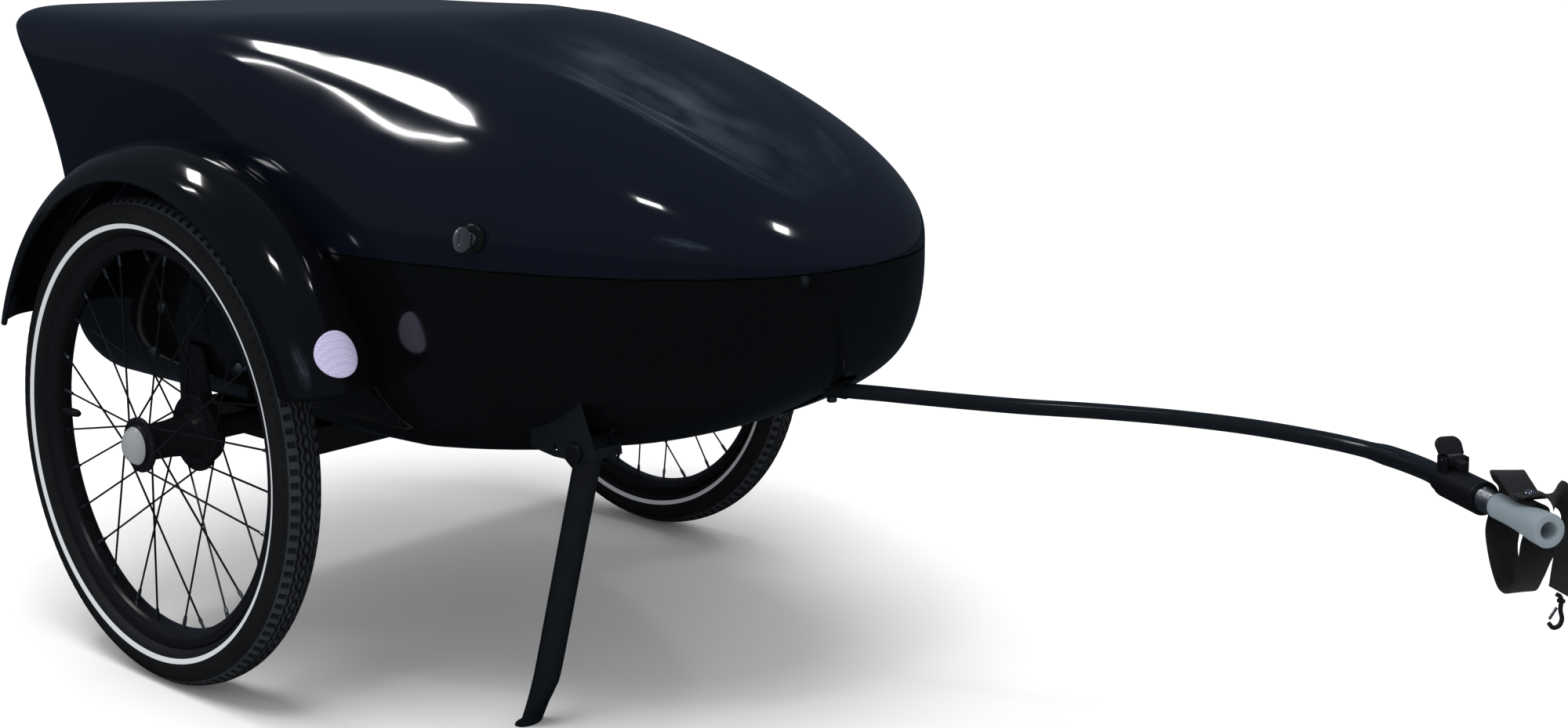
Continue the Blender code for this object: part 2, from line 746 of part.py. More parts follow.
def build_lock(lock, core, root):
    ring = [(BARREL_LOCK_RADIUS - 0.001, 0.0042), (BEZEL_RADIUS - 0.0015, 0.0040), (BEZEL_RADIUS, 0.0024),
            (BEZEL_RADIUS, -0.0045), (BARREL_LOCK_RADIUS - 0.001, -0.0045)]
    barrel = turned("lock_barrel", ring, dark_metal, lock)
    boolean(barrel, bpy.data.objects["lid_space"])
    bore = PLUG_RADIUS + SEAT
    neck = [(bore, LOCK_FACE), (BARREL_LOCK_RADIUS - 0.0005, LOCK_FACE),
            (BARREL_LOCK_RADIUS, LOCK_FACE - 0.0006), (BARREL_LOCK_RADIUS, -LOCK_LENGTH),
            (bore, -LOCK_LENGTH)]
    join(barrel, turned_cutter("lock_neck", neck, lock))

    back = -LID_WALL - LOCK_NUT_GAP
    nut_bore = (BARREL_LOCK_RADIUS + SEAT) / math.cos(math.pi / 6)
    nut = [(nut_bore, back), (0.0150, back), (0.0150, back - 0.005), (nut_bore, back - 0.005)]
    turned("lock_nut", nut, zinc, lock, steps=6)

    rear = SEAT + CAM_THICKNESS / 2 - CAM_PLACE
    plug_profile = [(0, 0.0045), (PLUG_RADIUS - 0.0006, 0.0045), (PLUG_RADIUS, 0.0038), (PLUG_RADIUS, rear),
                    (PLUG_STUB, rear), (PLUG_STUB, rear - 0.0050), (0, rear - 0.0050)]
    plug = turned("lock_plug", plug_profile, chrome, core, closed=False)
    slot = box_mesh("keyway", (-0.0010, -0.0045, -0.0190), (0.0010, 0.0045, 0.0100))
    boolean(plug, new_cutter("keyway", slot, core))

    build_key(core)
    build_cam(core)
    build_strike(root)


def build_key(core):
    """The key's blade in the keyway and its round head outside, with the slot for a ring."""
    half = KEY_HEAD_HEIGHT / 2
    head_start = 0.0060
    middle = head_start + KEY_HEAD_REACH - half
    head = [(head_start, -0.0050), (head_start, 0.0050)]
    head += reversed(circle(half, 11, (middle, 0), -math.radians(125), math.radians(125), False))
    eye = circle(0.0016, 6, (middle + 0.0055, 0.0035), 0, math.pi, False)
    eye += circle(0.0016, 6, (middle + 0.0055, -0.0035), math.pi, 2 * math.pi, False)
    lying = (0, math.radians(-90), 0)
    mesh = mesh_of_curve(plate_curve("key", [head, eye], KEY_THICKNESS))
    key = new_part("key", mesh, smoky_plastic, core, rotation=lying)
    blade = box_mesh("blade", (-0.0007, -0.0041, -0.0185), (0.0007, 0.0041, head_start + 0.003))
    join(key, new_cutter("key_blade", blade, core))


def build_cam(core):
    """A hooked cam, drawn as it stands when locked and turned a quarter back, clear of the strike."""
    half = CAM_WIDTH / 2
    tip = CAM_LENGTH + 0.006
    outline = circle(half + 0.002, 9, (0, 0), 0, math.pi, False)
    outline += [(-half, -0.006), (-half, -CAM_LENGTH), (-half - 0.0085, -CAM_LENGTH), (-half - 0.0085, -tip)]
    outline += [(half - 0.002, -tip), (half, -tip + 0.002), (half, -0.006)]
    hole = circle(PLUG_STUB + SEAT, 12)
    mesh = mesh_of_curve(plate_curve("lock_cam", [outline, hole], CAM_THICKNESS))
    new_part("lock_cam", mesh, zinc, core, (0, 0, -CAM_PLACE), (0, 0, math.pi / 2))


def build_strike(root):
    """A bracket under the tub's lip, with the tongue that the cam hooks under."""
    along = lock_axes()[0]
    centre = lid_point(LOCK_X, LOCK_Z - SEAM_Z)
    middle = SEAM_Z - SEAM_GAP / 2 - TUB_WALL - SEAT - STRIKE_THICKNESS / 2
    near, lip, inner = TUB_WALL + 2 * RUN, LIP_WIDTH + TUB_WALL, CAM_PLACE + 0.0055
    tongue = (-CAM_WIDTH / 2 - 0.0075, -CAM_WIDTH / 2 - RUN)
    outline = [(-0.020, -near), (-0.020, -lip), (tongue[0], -lip), (tongue[0], -inner),
               (tongue[1], -inner), (tongue[1], -lip), (0.012, -lip), (0.012, -near)]
    mesh = mesh_of_curve(plate_curve("lock_strike", [outline], STRIKE_THICKNESS))
    turn = (math.pi, 0, math.atan2(along.y, along.x))
    new_part("lock_strike", mesh, zinc, root, (centre.x, centre.y, middle), turn)


def lock_axes():
    """Unit vectors along the lid's side, up it and straight out of it, at the lock."""
    rise = LOCK_Z - SEAM_Z
    step = 0.004
    along = (lid_point(LOCK_X + step, rise) - lid_point(LOCK_X - step, rise)).normalized()
    up = (lid_point(LOCK_X, rise + step) - lid_point(LOCK_X, rise - step)).normalized()
    out = along.cross(up).normalized()
    return along, out.cross(along).normalized(), out


def lock_matrix():
    along, up, out = lock_axes()
    matrix = Matrix((along, up, out)).transposed().to_4x4()
    matrix.translation = lid_point(LOCK_X, LOCK_Z - SEAM_Z)
    return matrix


# Underframe


def build_axle_frame(root):
    """A welded frame of pressed channel with its open side up, the two axle arms and the side plates."""
    top = SEAM_Z - SEAM_GAP / 2 - TUB_DEPTH - SEAT
    bottom = top - CHANNEL_SIZE
    half_x, half_y, wall = FRAME_HALF_LENGTH, FRAME_HALF_WIDTH, CHANNEL_WALL
    whole = box_mesh("axle_frame", (-half_x, -half_y, bottom), (half_x, half_y, top))
    frame = new_part("axle_frame", whole, frame_black, root)
    groove = box_mesh("groove", (wall - half_x, wall - half_y, bottom + wall),
                      (half_x - wall, half_y - wall, top + wall))
    groove = new_cutter("channel_groove", groove, root)
    for number, sign in enumerate((-1, 1), 1):
        near, far = sorted((sign * CHANNEL_SIZE / 2, sign * (half_x - CHANNEL_SIZE)))
        reach = half_y - CHANNEL_SIZE
        core = box_mesh("core", (near - wall, -reach - wall, bottom),
                        (far + wall, reach + wall, top + 2 * wall))
        boolean(groove, new_cutter(f"channel_core_{number}", core, root))
        window = box_mesh("window", (near, -reach, bottom - wall), (far, reach, top + wall))
        boolean(frame, new_cutter(f"frame_window_{number}", window, root))
    boolean(frame, groove)
    spine = spine_height(0)
    hole = rod_mesh("spine_hole", (SPINE_START - 0.02, 0, spine), (FRAME_HALF_LENGTH + 0.02, 0, spine),
                    hole_radius(SPINE_RADIUS, 12))
    boolean(frame, new_cutter("spine_hole", hole, root))
    for side, sign in SIDES.items():
        add_axle_arm(frame, side, sign, root)


def add_axle_arm(frame, side, sign, root):
    inner = FRAME_HALF_WIDTH - CHANNEL_WALL / 2
    arm = rod_mesh("axle_arm", (0, sign * inner, WHEEL_RADIUS), (0, sign * ARM_END, WHEEL_RADIUS),
                   ARM_RADIUS, 16)
    join(frame, new_cutter(f"axle_arm_{side}", arm, root))
    thickness = 0.003
    foot = WHEEL_RADIUS - 0.006
    outline = [(SIDE_PLATE_REAR, SIDE_PLATE_TOP - 0.006), (SIDE_PLATE_REAR + 0.006, SIDE_PLATE_TOP),
               (SIDE_PLATE_FRONT - 0.006, SIDE_PLATE_TOP), (SIDE_PLATE_FRONT, SIDE_PLATE_TOP - 0.006),
               (0.008, foot + 0.010), (0.008, foot), (-0.020, foot), (SIDE_PLATE_REAR, foot + 0.030)]
    plate = mesh_of_curve(plate_curve("side_plate", [outline], thickness))
    middle = sign * (HALF_WIDTH + 2 * SEAT + thickness / 2)
    join(frame, new_cutter(f"side_plate_{side}", plate, root, (0, middle, 0), (math.pi / 2, 0, 0)))
    depth = SOCKET_DEPTH
    bore = rod_mesh("arm_bore", (0, sign * (ARM_END - depth), WHEEL_RADIUS),
                    (0, sign * (ARM_END + 0.02), WHEEL_RADIUS), arm_bore_radius(), 16)
    boolean(frame, new_cutter(f"arm_bore_{side}", bore, root))


def arm_bore_radius():
    return ARM_RADIUS - 0.0020


def build_spine(root):
    """The drawbar receiver: a tube bolted under the floor, bent up into the channel of the bow."""
    xs = [SPINE_START, SPINE_RISE_START]
    steps = 9
    xs += [SPINE_RISE_START + (SPINE_RISE_END - SPINE_RISE_START) * i / steps for i in range(1, steps + 1)]
    xs.append(RECEIVER_END)
    points = [(x, 0, spine_height(x)) for x in xs]
    mesh = mesh_of_curve(tube_curve("spine_tube", points, SPINE_RADIUS, 3))
    spine = new_part("spine_tube", mesh, frame_black, root)
    start = RECEIVER_END - RECEIVER_DEPTH
    bore = rod_mesh("receiver_bore", (start, 0, TOW_Z), (RECEIVER_END + 0.02, 0, TOW_Z),
                    hole_radius(BAR_RADIUS, 12))
    boolean(spine, new_cutter("receiver_bore", bore, root))
    bolt_x = clamp_bolt_x()
    hole = rod_mesh("clamp_hole", (bolt_x, 0, TOW_Z - 0.02), (bolt_x, 0, TOW_Z), 0.0025 + SEAT, 10)
    boolean(spine, new_cutter("clamp_hole", hole, root))

    floor = SEAM_Z - SEAM_GAP / 2 - TUB_DEPTH - SEAT
    low = spine_height(SADDLE_X)
    inner, outer = SPINE_RADIUS + SEAT, SPINE_RADIUS + 0.0025
    top = floor - low
    foot = 0.028
    outline = [(foot, top), (foot, top - 0.0025), (outer, top - 0.0025)]
    outline += [(x, y) for x, y in reversed(circle(outer, 9, (0, 0), -math.pi, 0, False))]
    outline += [(-outer, top - 0.0025), (-foot, top - 0.0025), (-foot, top), (-inner, top)]
    outline += [(x, y) for x, y in circle(inner, 9, (0, 0), -math.pi, 0, False)]
    outline += [(inner, top)]
    saddle = mesh_of_curve(plate_curve("spine_saddle", [outline], SADDLE_LENGTH))
    new_part("spine_saddle", saddle, zinc, root, (SADDLE_X, 0, low), (math.pi / 2, 0, math.pi / 2))


def clamp_bolt_x():
    return RECEIVER_END - 0.018


def build_clamp_bolt(root):
    """The bolt under the receiver's end that presses on the tow bar."""
    head = TOW_Z - SPINE_RADIUS - SEAT
    tip = TOW_Z - BAR_RADIUS - SEAT
    profile = [(0, tip), (0.0025, tip), (0.0025, head), (0.0050, head), (0.0050, head - 0.004),
               (0.0042, head - 0.005), (0, head - 0.005)]
    turned("bar_clamp_bolt", profile, zinc, root, (clamp_bolt_x(), 0, 0), steps=10, closed=False)


def build_side_bolts(root):
    """Domed bolts through the tub's sides, each with its nut against the inside of the wall."""
    space = bpy.data.objects["tub_space"]
    for side, sign in SIDES.items():
        for number, (x, z) in enumerate(SIDE_BOLTS, 1):
            surface = tub_side(x, z)
            head = [(0, 0.0045), (0.0045, 0.0036), (SIDE_BOLT_HEAD, 0), (SIDE_BOLT_HEAD, -0.006),
                    (0, -0.006)]
            name = f"side_bolt_{side}_{number}"
            turn = (-sign * math.pi / 2, 0, 0)
            bolt = turned(name, head, zinc, root, (x, sign * surface, z), turn, 8, False)
            boolean(bolt, space)
            depth = TUB_WALL + SIDE_NUT_GAP
            shank = [(0, 0.0020), (SIDE_BOLT_RADIUS, 0.0020), (SIDE_BOLT_RADIUS, -depth),
                     (0.0062, -depth), (0.0062, -depth - 0.0050), (0, -depth - 0.0050)]
            here = (x, sign * surface, z)
            join(bolt, turned_cutter(f"shank_{side}_{number}", shank, root, here, turn, 6, False))


def tub_side(x, z):
    depth, power = tub_depth(x), tub_power(x)
    drop = (SEAM_Z - SEAM_GAP / 2 - z) / depth
    return plan_half_width(x) * (1 - drop ** power) ** (1 / power)


# Mudguards


def guard_profile():
    """Distances out from the body's side and radii from the axle, from the inner edge to the lip."""
    return [(2 * SEAT, GUARD_CREST - 0.0185), (0.018, GUARD_CREST - 0.0055), (0.038, GUARD_CREST),
            (0.062, GUARD_CREST - 0.0035), (GUARD_REACH - 0.006, GUARD_CREST - 0.0190),
            (GUARD_REACH, GUARD_CREST - 0.0375)]


def guard_mesh():
    """The right mudguard as an open surface round the axle, its inner edge following the body's side."""
    bm = bmesh.new()
    rows = []
    corner_turn = GUARD_CORNER / GUARD_CREST
    turns = [GUARD_START, GUARD_START + corner_turn * 0.6]
    inner_steps = GUARD_STEPS - 2
    low, high = GUARD_START + corner_turn * 1.5, GUARD_END - corner_turn * 1.5
    turns += [low + (high - low) * i / inner_steps for i in range(inner_steps + 1)]
    turns += [GUARD_END - corner_turn * 0.6, GUARD_END]
    for turn in turns:
        row = []
        for index, (out, radius) in enumerate(guard_profile()):
            angle = turn
            if index == 5:
                angle = min(max(turn, GUARD_START + corner_turn), GUARD_END - corner_turn)
            if index == 4:
                angle = min(max(turn, GUARD_START + corner_turn * 0.3), GUARD_END - corner_turn * 0.3)
            x = radius * math.cos(angle)
            z = WHEEL_RADIUS + radius * math.sin(angle)
            body = plan_half_width(x) if index == 0 else HALF_WIDTH
            row.append(bm.verts.new((x, -body - out, z)))
        rows.append(row)
    for row, following in zip(rows, rows[1:]):
        for a, b, c, d in zip(row, following, following[1:], row[1:]):
            bm.faces.new((a, b, c, d))
    bmesh.ops.remove_doubles(bm, verts=bm.verts, dist=0.00001)
    bmesh.ops.recalc_face_normals(bm, faces=bm.faces)
    top = max(bm.faces, key=lambda face: face.calc_center_median().z)
    if top.normal.z < 0:
        bmesh.ops.reverse_faces(bm, faces=bm.faces)
    return finished(bm, "mudguard")


def flipped(mesh, name):
    """The same surface on the other side of the trailer."""
    bm = bmesh.new()
    bm.from_mesh(mesh)
    bmesh.ops.scale(bm, verts=bm.verts, vec=(1, -1, 1))
    bmesh.ops.reverse_faces(bm, faces=bm.faces)
    return finished(bm, name)


def build_mudguards(root):
    right = guard_mesh()
    for side, sign in SIDES.items():
        mesh = right if sign < 0 else flipped(right, "mudguard_left")
        guard = new_part(f"mudguard_{side}", mesh, black_gloss, root)
        add_wall(guard, GUARD_WALL)
        build_reflector(side, sign, mesh, root)


def build_reflector(side, sign, surface, root):
    """A disc stuck on the crown: cut from a round bar between two surfaces that run along the mudguard."""
    radius = GUARD_CREST - 0.0004
    turn = REFLECTOR_TURN
    out = Vector((math.cos(turn), 0, math.sin(turn)))
    centre = out * radius + Vector((0, sign * REFLECTOR_Y, WHEEL_RADIUS))
    disc = new_part(f"reflector_{side}", rod_mesh("reflector", centre - out * 0.003, centre + out * 0.006,
                                                  REFLECTOR_RADIUS, 24), reflective, root)
    outer = new_cutter(f"reflector_top_{side}", surface, root)
    total = 0.012 + SEAT + REFLECTOR_THICKNESS
    add_wall(outer, total, 2 * (SEAT + REFLECTOR_THICKNESS) / total - 1)
    boolean(disc, outer, "INTERSECT")
    under = new_cutter(f"reflector_seat_{side}", surface, root)
    total = 0.014 + SEAT
    add_wall(under, total, 2 * SEAT / total - 1)
    boolean(disc, under)


# Wheels, in a frame with Z pointing outwards along the axle


def tyre_profile():
    flat = WHEEL_RADIUS
    bead, bead_gap = RIM_RADIUS - BEAD_REACH, RIM_BED_HALF_WIDTH
    outer = [(bead, bead_gap), (RIM_RADIUS + SEAT, RIM_HALF_WIDTH - RIM_WALL - SEAT),
             (RIM_RADIUS + 0.0042, TYRE_HALF_WIDTH - 0.0050),
             (RIM_RADIUS + 0.0152, TYRE_HALF_WIDTH), (flat - 0.0100, TYRE_HALF_WIDTH - 0.0035),
             (flat, 0.0070)]
    inner = [(bead, 0.0065), (RIM_RADIUS + 0.0157, TYRE_HALF_WIDTH - TYRE_WALL), (flat - 0.0060, 0.0050)]
    profile = outer + [(r, -z) for r, z in reversed(outer)]
    return profile + [(r, -z) for r, z in inner] + [(r, z) for r, z in reversed(inner)]


def rim_profile():
    top, half, wall = RIM_RADIUS, RIM_HALF_WIDTH, RIM_WALL
    inner = top - RIM_DEPTH
    bed, middle = inner + 0.0050, half / 2
    side, flank = top - RIM_SIDE, half - RIM_SIDE_TAPER
    return [(top, half), (top, half - wall), (bed, RIM_BED_HALF_WIDTH), (bed, -RIM_BED_HALF_WIDTH),
            (top, wall - half), (top, -half), (side, -flank), (inner, -middle), (inner, middle),
            (side, flank)]


def hub_profile():
    end, inner_end = HUB_OUTER_END, -HUB_INNER_END
    pocket = BEARING_RADIUS + SEAT
    outer_floor = end - 0.0020 - BEARING_WIDTH - SEAT
    inner_floor = inner_end + 0.0010 + BEARING_WIDTH + SEAT
    half = FLANGE_THICKNESS / 2
    lip, outer, inner = BARREL_RADIUS + 0.0015, OUTER_FLANGE_PLACE, INNER_FLANGE_PLACE
    return [(pocket, end), (lip, end), (lip, outer + half), (OUTER_FLANGE_RADIUS, outer + half),
            (OUTER_FLANGE_RADIUS, outer - half), (BARREL_RADIUS, outer - half - 0.0020),
            (BARREL_RADIUS + 0.0045, inner + half), (INNER_FLANGE_RADIUS, inner + half),
            (INNER_FLANGE_RADIUS, inner - half), (DRUM_RADIUS, inner - half),
            (DRUM_RADIUS - 0.0030, inner_end), (pocket, inner_end),
            (pocket, inner_floor), (AXLE_RADIUS + 0.0030, inner_floor), (AXLE_RADIUS + 0.0030, outer_floor),
            (pocket, outer_floor)]


def spokes_mesh():
    """All spokes of a wheel: seven lead and seven trail on each flange, each crossing two others."""
    bm = bmesh.new()
    pitch = 2 * math.pi / SPOKES_PER_SIDE
    reach = (RIM_RADIUS - RIM_DEPTH) * math.cos(math.pi / WHEEL_STEPS) - RUN
    for flange, place_z, radius, shift in ((1, OUTER_FLANGE_PLACE, OUTER_FLANGE_RADIUS - 0.004, 0.25),
                                           (-1, INNER_FLANGE_PLACE, INNER_FLANGE_RADIUS - 0.004, 0.75)):
        for number in range(SPOKES_PER_SIDE):
            lead = 1 if number % 2 else -1
            at_hub = (number + shift) * pitch
            at_rim = at_hub + lead * SPOKE_CROSSES * pitch
            start = Vector((radius * math.cos(at_hub), radius * math.sin(at_hub), place_z + lead * 0.0020))
            end = Vector((reach * math.cos(at_rim), reach * math.sin(at_rim), flange * 0.0015))
            matrix = Matrix.Translation((start + end) / 2)
            matrix = matrix @ (end - start).to_track_quat("Z", "Y").to_matrix().to_4x4()
            bmesh.ops.create_cone(bm, cap_ends=True, segments=4, radius1=SPOKE_RADIUS, radius2=SPOKE_RADIUS,
                                  depth=(end - start).length, matrix=matrix)
    return finished(bm, "spokes")


def tube_profile():
    """The inner tube's section, with room inside the tyre."""
    centre, radius = RIM_RADIUS + 0.0135, 0.0135
    turns = [-2 * math.pi * (i + 0.5) / TUBE_SIDES for i in range(TUBE_SIDES)]
    return [(centre + radius * math.cos(turn), radius * math.sin(turn)) for turn in turns]


def build_wheel(side, sign, root):
    outward = (-sign * math.pi / 2, 0, 0)
    centre = (0, sign * TRACK / 2, WHEEL_RADIUS)
    wheel = new_pivot(f"wheel_axis_{side}", root, centre, outward)
    steps = WHEEL_STEPS
    crest, grow = WHEEL_RADIUS - 0.003, 1 / math.cos(math.pi / steps)
    tyre = [(radius * grow if radius > crest else radius, height) for radius, height in tyre_profile()]
    turned(f"tyre_{side}", tyre, tyre_rubber, wheel, rotation=(0, 0, math.pi / steps), steps=steps)

    half_step = (0, 0, math.pi / steps)
    rim = turned(f"rim_{side}", rim_profile(), black_metal, wheel, rotation=half_step, steps=steps)
    turn = VALVE_TURNS[side] * (1 if side == "right" else -1)
    along = Vector((math.cos(turn), math.sin(turn), 0))
    inner = RIM_RADIUS - RIM_DEPTH
    hole = rod_mesh("valve_hole", along * (inner - 0.01), along * RIM_RADIUS, VALVE_RADIUS + SEAT, 8)
    boolean(rim, new_cutter(f"valve_hole_{side}", hole, wheel))
    tube = turned(f"inner_tube_{side}", tube_profile(), rubber, wheel, steps=20)
    stem = rod_mesh("valve", along * (inner - VALVE_LENGTH), along * (RIM_RADIUS + 0.006), VALVE_RADIUS, 8)
    join(tube, new_cutter(f"valve_{side}", stem, wheel))

    hub = turned(f"hub_{side}", hub_profile(), black_plastic, wheel)
    join(hub, new_cutter(f"spokes_{side}", spokes_mesh(), wheel))
    build_hub_fittings(side, wheel)
    build_stub_axle(side, sign, root, centre, outward)


def build_hub_fittings(side, wheel):
    """The two bearings and the domed cap, which all turn with the wheel."""
    bore = AXLE_RADIUS + SEAT
    for name, low in (("outer", HUB_OUTER_END - 0.0020 - BEARING_WIDTH), ("inner", -HUB_INNER_END + 0.0010)):
        high = low + BEARING_WIDTH
        ring = [(bore, high), (BEARING_RADIUS, high), (BEARING_RADIUS, low), (bore, low)]
        turned(f"bearing_{name}_{side}", ring, steel, wheel, steps=12)
    base, rim = HUB_OUTER_END + SEAT, BARREL_RADIUS + 0.0005
    top = base + CAP_HEIGHT
    dome = [(0, top), (0.0090, top - 0.0009), (0.0155, top - 0.0040), (rim, base), (rim - 0.0016, base),
            (0.0142, top - 0.0058), (0.0080, top - 0.0027), (0, top - 0.0018)]
    turned(f"hub_cap_{side}", dome, grey_plastic, wheel, closed=False)


def build_stub_axle(side, sign, root, centre, outward):
    """The steel stub that carries the wheel, pushed into the axle arm, with its nut under the cap."""
    arm = ARM_END - TRACK / 2
    collar_top = -HUB_INNER_END + 0.0010 - SEAT
    nut_low = HUB_OUTER_END - 0.0020 + SEAT
    end = nut_low + NUT_HEIGHT + 0.0016
    shaft = AXLE_RADIUS - 0.0001
    fit = arm_bore_radius() - SEAT
    profile = [(0, end), (shaft - 0.0008, end), (shaft, end - 0.0010), (shaft, collar_top),
               (0.0115, collar_top), (0.0115, arm + SEAT), (fit, arm + SEAT),
               (fit, arm - SOCKET_DEPTH + 0.004), (0, arm - SOCKET_DEPTH + 0.003)]
    turned(f"stub_axle_{side}", profile, steel, root, centre, outward, 12, False)
    bore = (shaft + SEAT) / math.cos(math.pi / 6)
    nut = [(bore, nut_low + NUT_HEIGHT), (0.0110, nut_low + NUT_HEIGHT), (0.0110, nut_low), (bore, nut_low)]
    turned(f"axle_nut_{side}", nut, zinc, root, centre, outward, 6)


# Parking stand


def build_stand(root):
    pivot = new_pivot("stand_pivot", root, (STAND_X, STAND_Y, STAND_Z))
    build_leg(pivot)
    build_stand_bracket(root)
    half = STAND_GRIP / 2 + CHEEK
    radius = STAND_BOLT_RADIUS
    head = -half - SEAT
    nut_face = half + SEAT
    shank_end = nut_face + 0.0065 + 0.003
    profile = [(0, -head + 0.0052), (STAND_HEAD_RADIUS - 0.0015, -head + 0.0050),
               (STAND_HEAD_RADIUS, -head + 0.0038), (STAND_HEAD_RADIUS, -head), (radius, -head),
               (radius, -shank_end), (0, -shank_end)]
    sideways = (math.pi / 2, 0, 0)
    turned("stand_bolt", profile, black_metal, root, pivot.location, sideways, 16, False)
    bore = (radius + SEAT) / math.cos(math.pi / 6)
    nut = [(bore, -nut_face), (0.0076, -nut_face), (0.0076, -nut_face - 0.0065), (bore, -nut_face - 0.0065)]
    turned("stand_nut", nut, zinc, root, pivot.location, sideways, 6)


def build_leg(pivot):
    """A steel tube whose lower end is squeezed flat, with its front drawn back into a small toe."""
    length = math.hypot(LEG_LEAN, STAND_Z)
    lean = math.atan2(LEG_LEAN, STAND_Z)
    down = Vector((-math.sin(lean), 0, -math.cos(lean)))
    forward = Vector((math.cos(lean), 0, -math.sin(lean)))
    bm = bmesh.new()
    sides = 14
    rings = []
    squeeze = FOOT_RISE / length
    turns = [2 * math.pi * i / sides for i in range(sides)]
    stages = ((0.0, 1, 1, 0), (1 - squeeze, 1, 1, 0), (1 - squeeze * 0.62, 1.03, 0.84, 0.0020),
              (1 - squeeze * 0.30, 1.10, 0.52, 0.0058), (1 - squeeze * 0.10, 1.16, 0.34, 0.0082))
    for share, wide, thick, back in stages:
        centre = down * (length * share) - forward * back
        deep, broad = forward * LEG_RADIUS * thick, Vector((0, LEG_RADIUS * wide, 0))
        rings.append([bm.verts.new(centre + deep * math.cos(a) + broad * math.sin(a)) for a in turns])
    for height, half_length, shift in ((0.0030, 0.0075, -0.0030), (0.0, 0.0105, -0.0060)):
        centre = Vector((-LEG_LEAN - 0.0075 + shift, 0, height - STAND_Z))
        deep, broad = Vector((half_length, 0, 0)), Vector((0, LEG_RADIUS * 1.18, 0))
        rings.append([bm.verts.new(centre + deep * math.cos(a) + broad * math.sin(a)) for a in turns])
    for ring, following in zip(rings, rings[1:]):
        for index in range(sides):
            after = (index + 1) % sides
            bm.faces.new((ring[index], ring[after], following[after], following[index]))
    bm.faces.new(rings[0])
    bm.faces.new(rings[-1])
    bmesh.ops.recalc_face_normals(bm, faces=bm.faces)
    leg = new_part("stand_leg", finished(bm, "stand_leg"), charcoal, pivot)
    half = STAND_GRIP / 2 - RUN
    eye = rod_mesh("leg_eye", (0, -half, 0), (0, half, 0), LEG_RADIUS, 16)
    join(leg, new_cutter("leg_eye", eye, pivot))
    hole = rod_mesh("leg_hole", (0, -0.03, 0), (0, 0.03, 0), STAND_BOLT_RADIUS + RUN, 12)
    boolean(leg, new_cutter("leg_hole", hole, pivot))


def build_stand_bracket(root):
    """Two cheeks and a front web, trimmed to the hull that they are fixed under."""
    here = (STAND_X, STAND_Y, STAND_Z)
    boss = LEG_RADIUS + 0.0010
    outline = [(-0.062, -0.005), (-0.030, -0.009)]
    outline += circle(boss, 7, (0, 0), math.radians(-140), math.radians(-35), False)
    outline += [(0.030, -0.004), (0.031, 0.060), (-0.062, 0.060)]
    holes = [circle(STAND_BOLT_RADIUS + SEAT, 10), circle(0.0030, 6, (-SECOND_HOLE_BEHIND, 0.0))]
    upright = (math.pi / 2, 0, 0)
    middle = STAND_GRIP / 2 + CHEEK / 2
    curve = plate_curve("stand_bracket", [outline, *holes], CHEEK)
    mesh = mesh_of_curve(curve)
    bracket = new_part("stand_bracket", mesh, charcoal, root, (STAND_X, STAND_Y - middle, STAND_Z), upright)
    join(bracket, new_cutter("far_cheek", mesh, root, (STAND_X, STAND_Y + middle, STAND_Z), upright))
    low = (LEG_RADIUS + 0.0025, -middle, -0.003)
    high = (LEG_RADIUS + 0.0135, middle, 0.059)
    join(bracket, new_cutter("bracket_web", box_mesh("web", low, high), root, here))
    boolean(bracket, bpy.data.objects["tub_space"])


# Tow bar and coupling, whose frame has Z forward along the coupling, Y up and X to the left


def hitch_matrix():
    forward = Vector((math.cos(HITCH_YAW), math.sin(HITCH_YAW), 0))
    up = Vector((0, 0, 1))
    matrix = Matrix((up.cross(forward), up, forward)).transposed().to_4x4()
    matrix.translation = HITCH_TIP - forward * HITCH_LENGTH
    return matrix


def build_tow_bar(root):
    """The bent bar that passes beside the bicycle's rear wheel, thicker where it enters the socket."""
    plan = [(RECEIVER_END - RECEIVER_DEPTH + 0.004, 0), (RECEIVER_END - 0.012, 0), (RECEIVER_END + 0.002, 0),
            (0.621, 0.0005), (0.645, 0.0090), (0.703, 0.027), (0.774, 0.052), (0.839, 0.082), (0.906, 0.106),
            (0.976, 0.120), (1.049, 0.120), (1.100, 0.109)]
    route = [Vector((x, y, TOW_Z)) for x, y in plan]
    frame = hitch_matrix()
    route += [frame @ Vector((0, 0, s)) for s in (-0.008, SOCKET_START, SOCKET_START + 0.018)]
    points = smooth_path(route, 2)
    thick = BAR_END_RADIUS / BAR_RADIUS
    factors = [thick if point.x > BAR_THICK_FROM else 1.0 for point in points]
    new_part("tow_bar", tube_curve("tow_bar", points, BAR_RADIUS, 2, factors), bar_black, root)


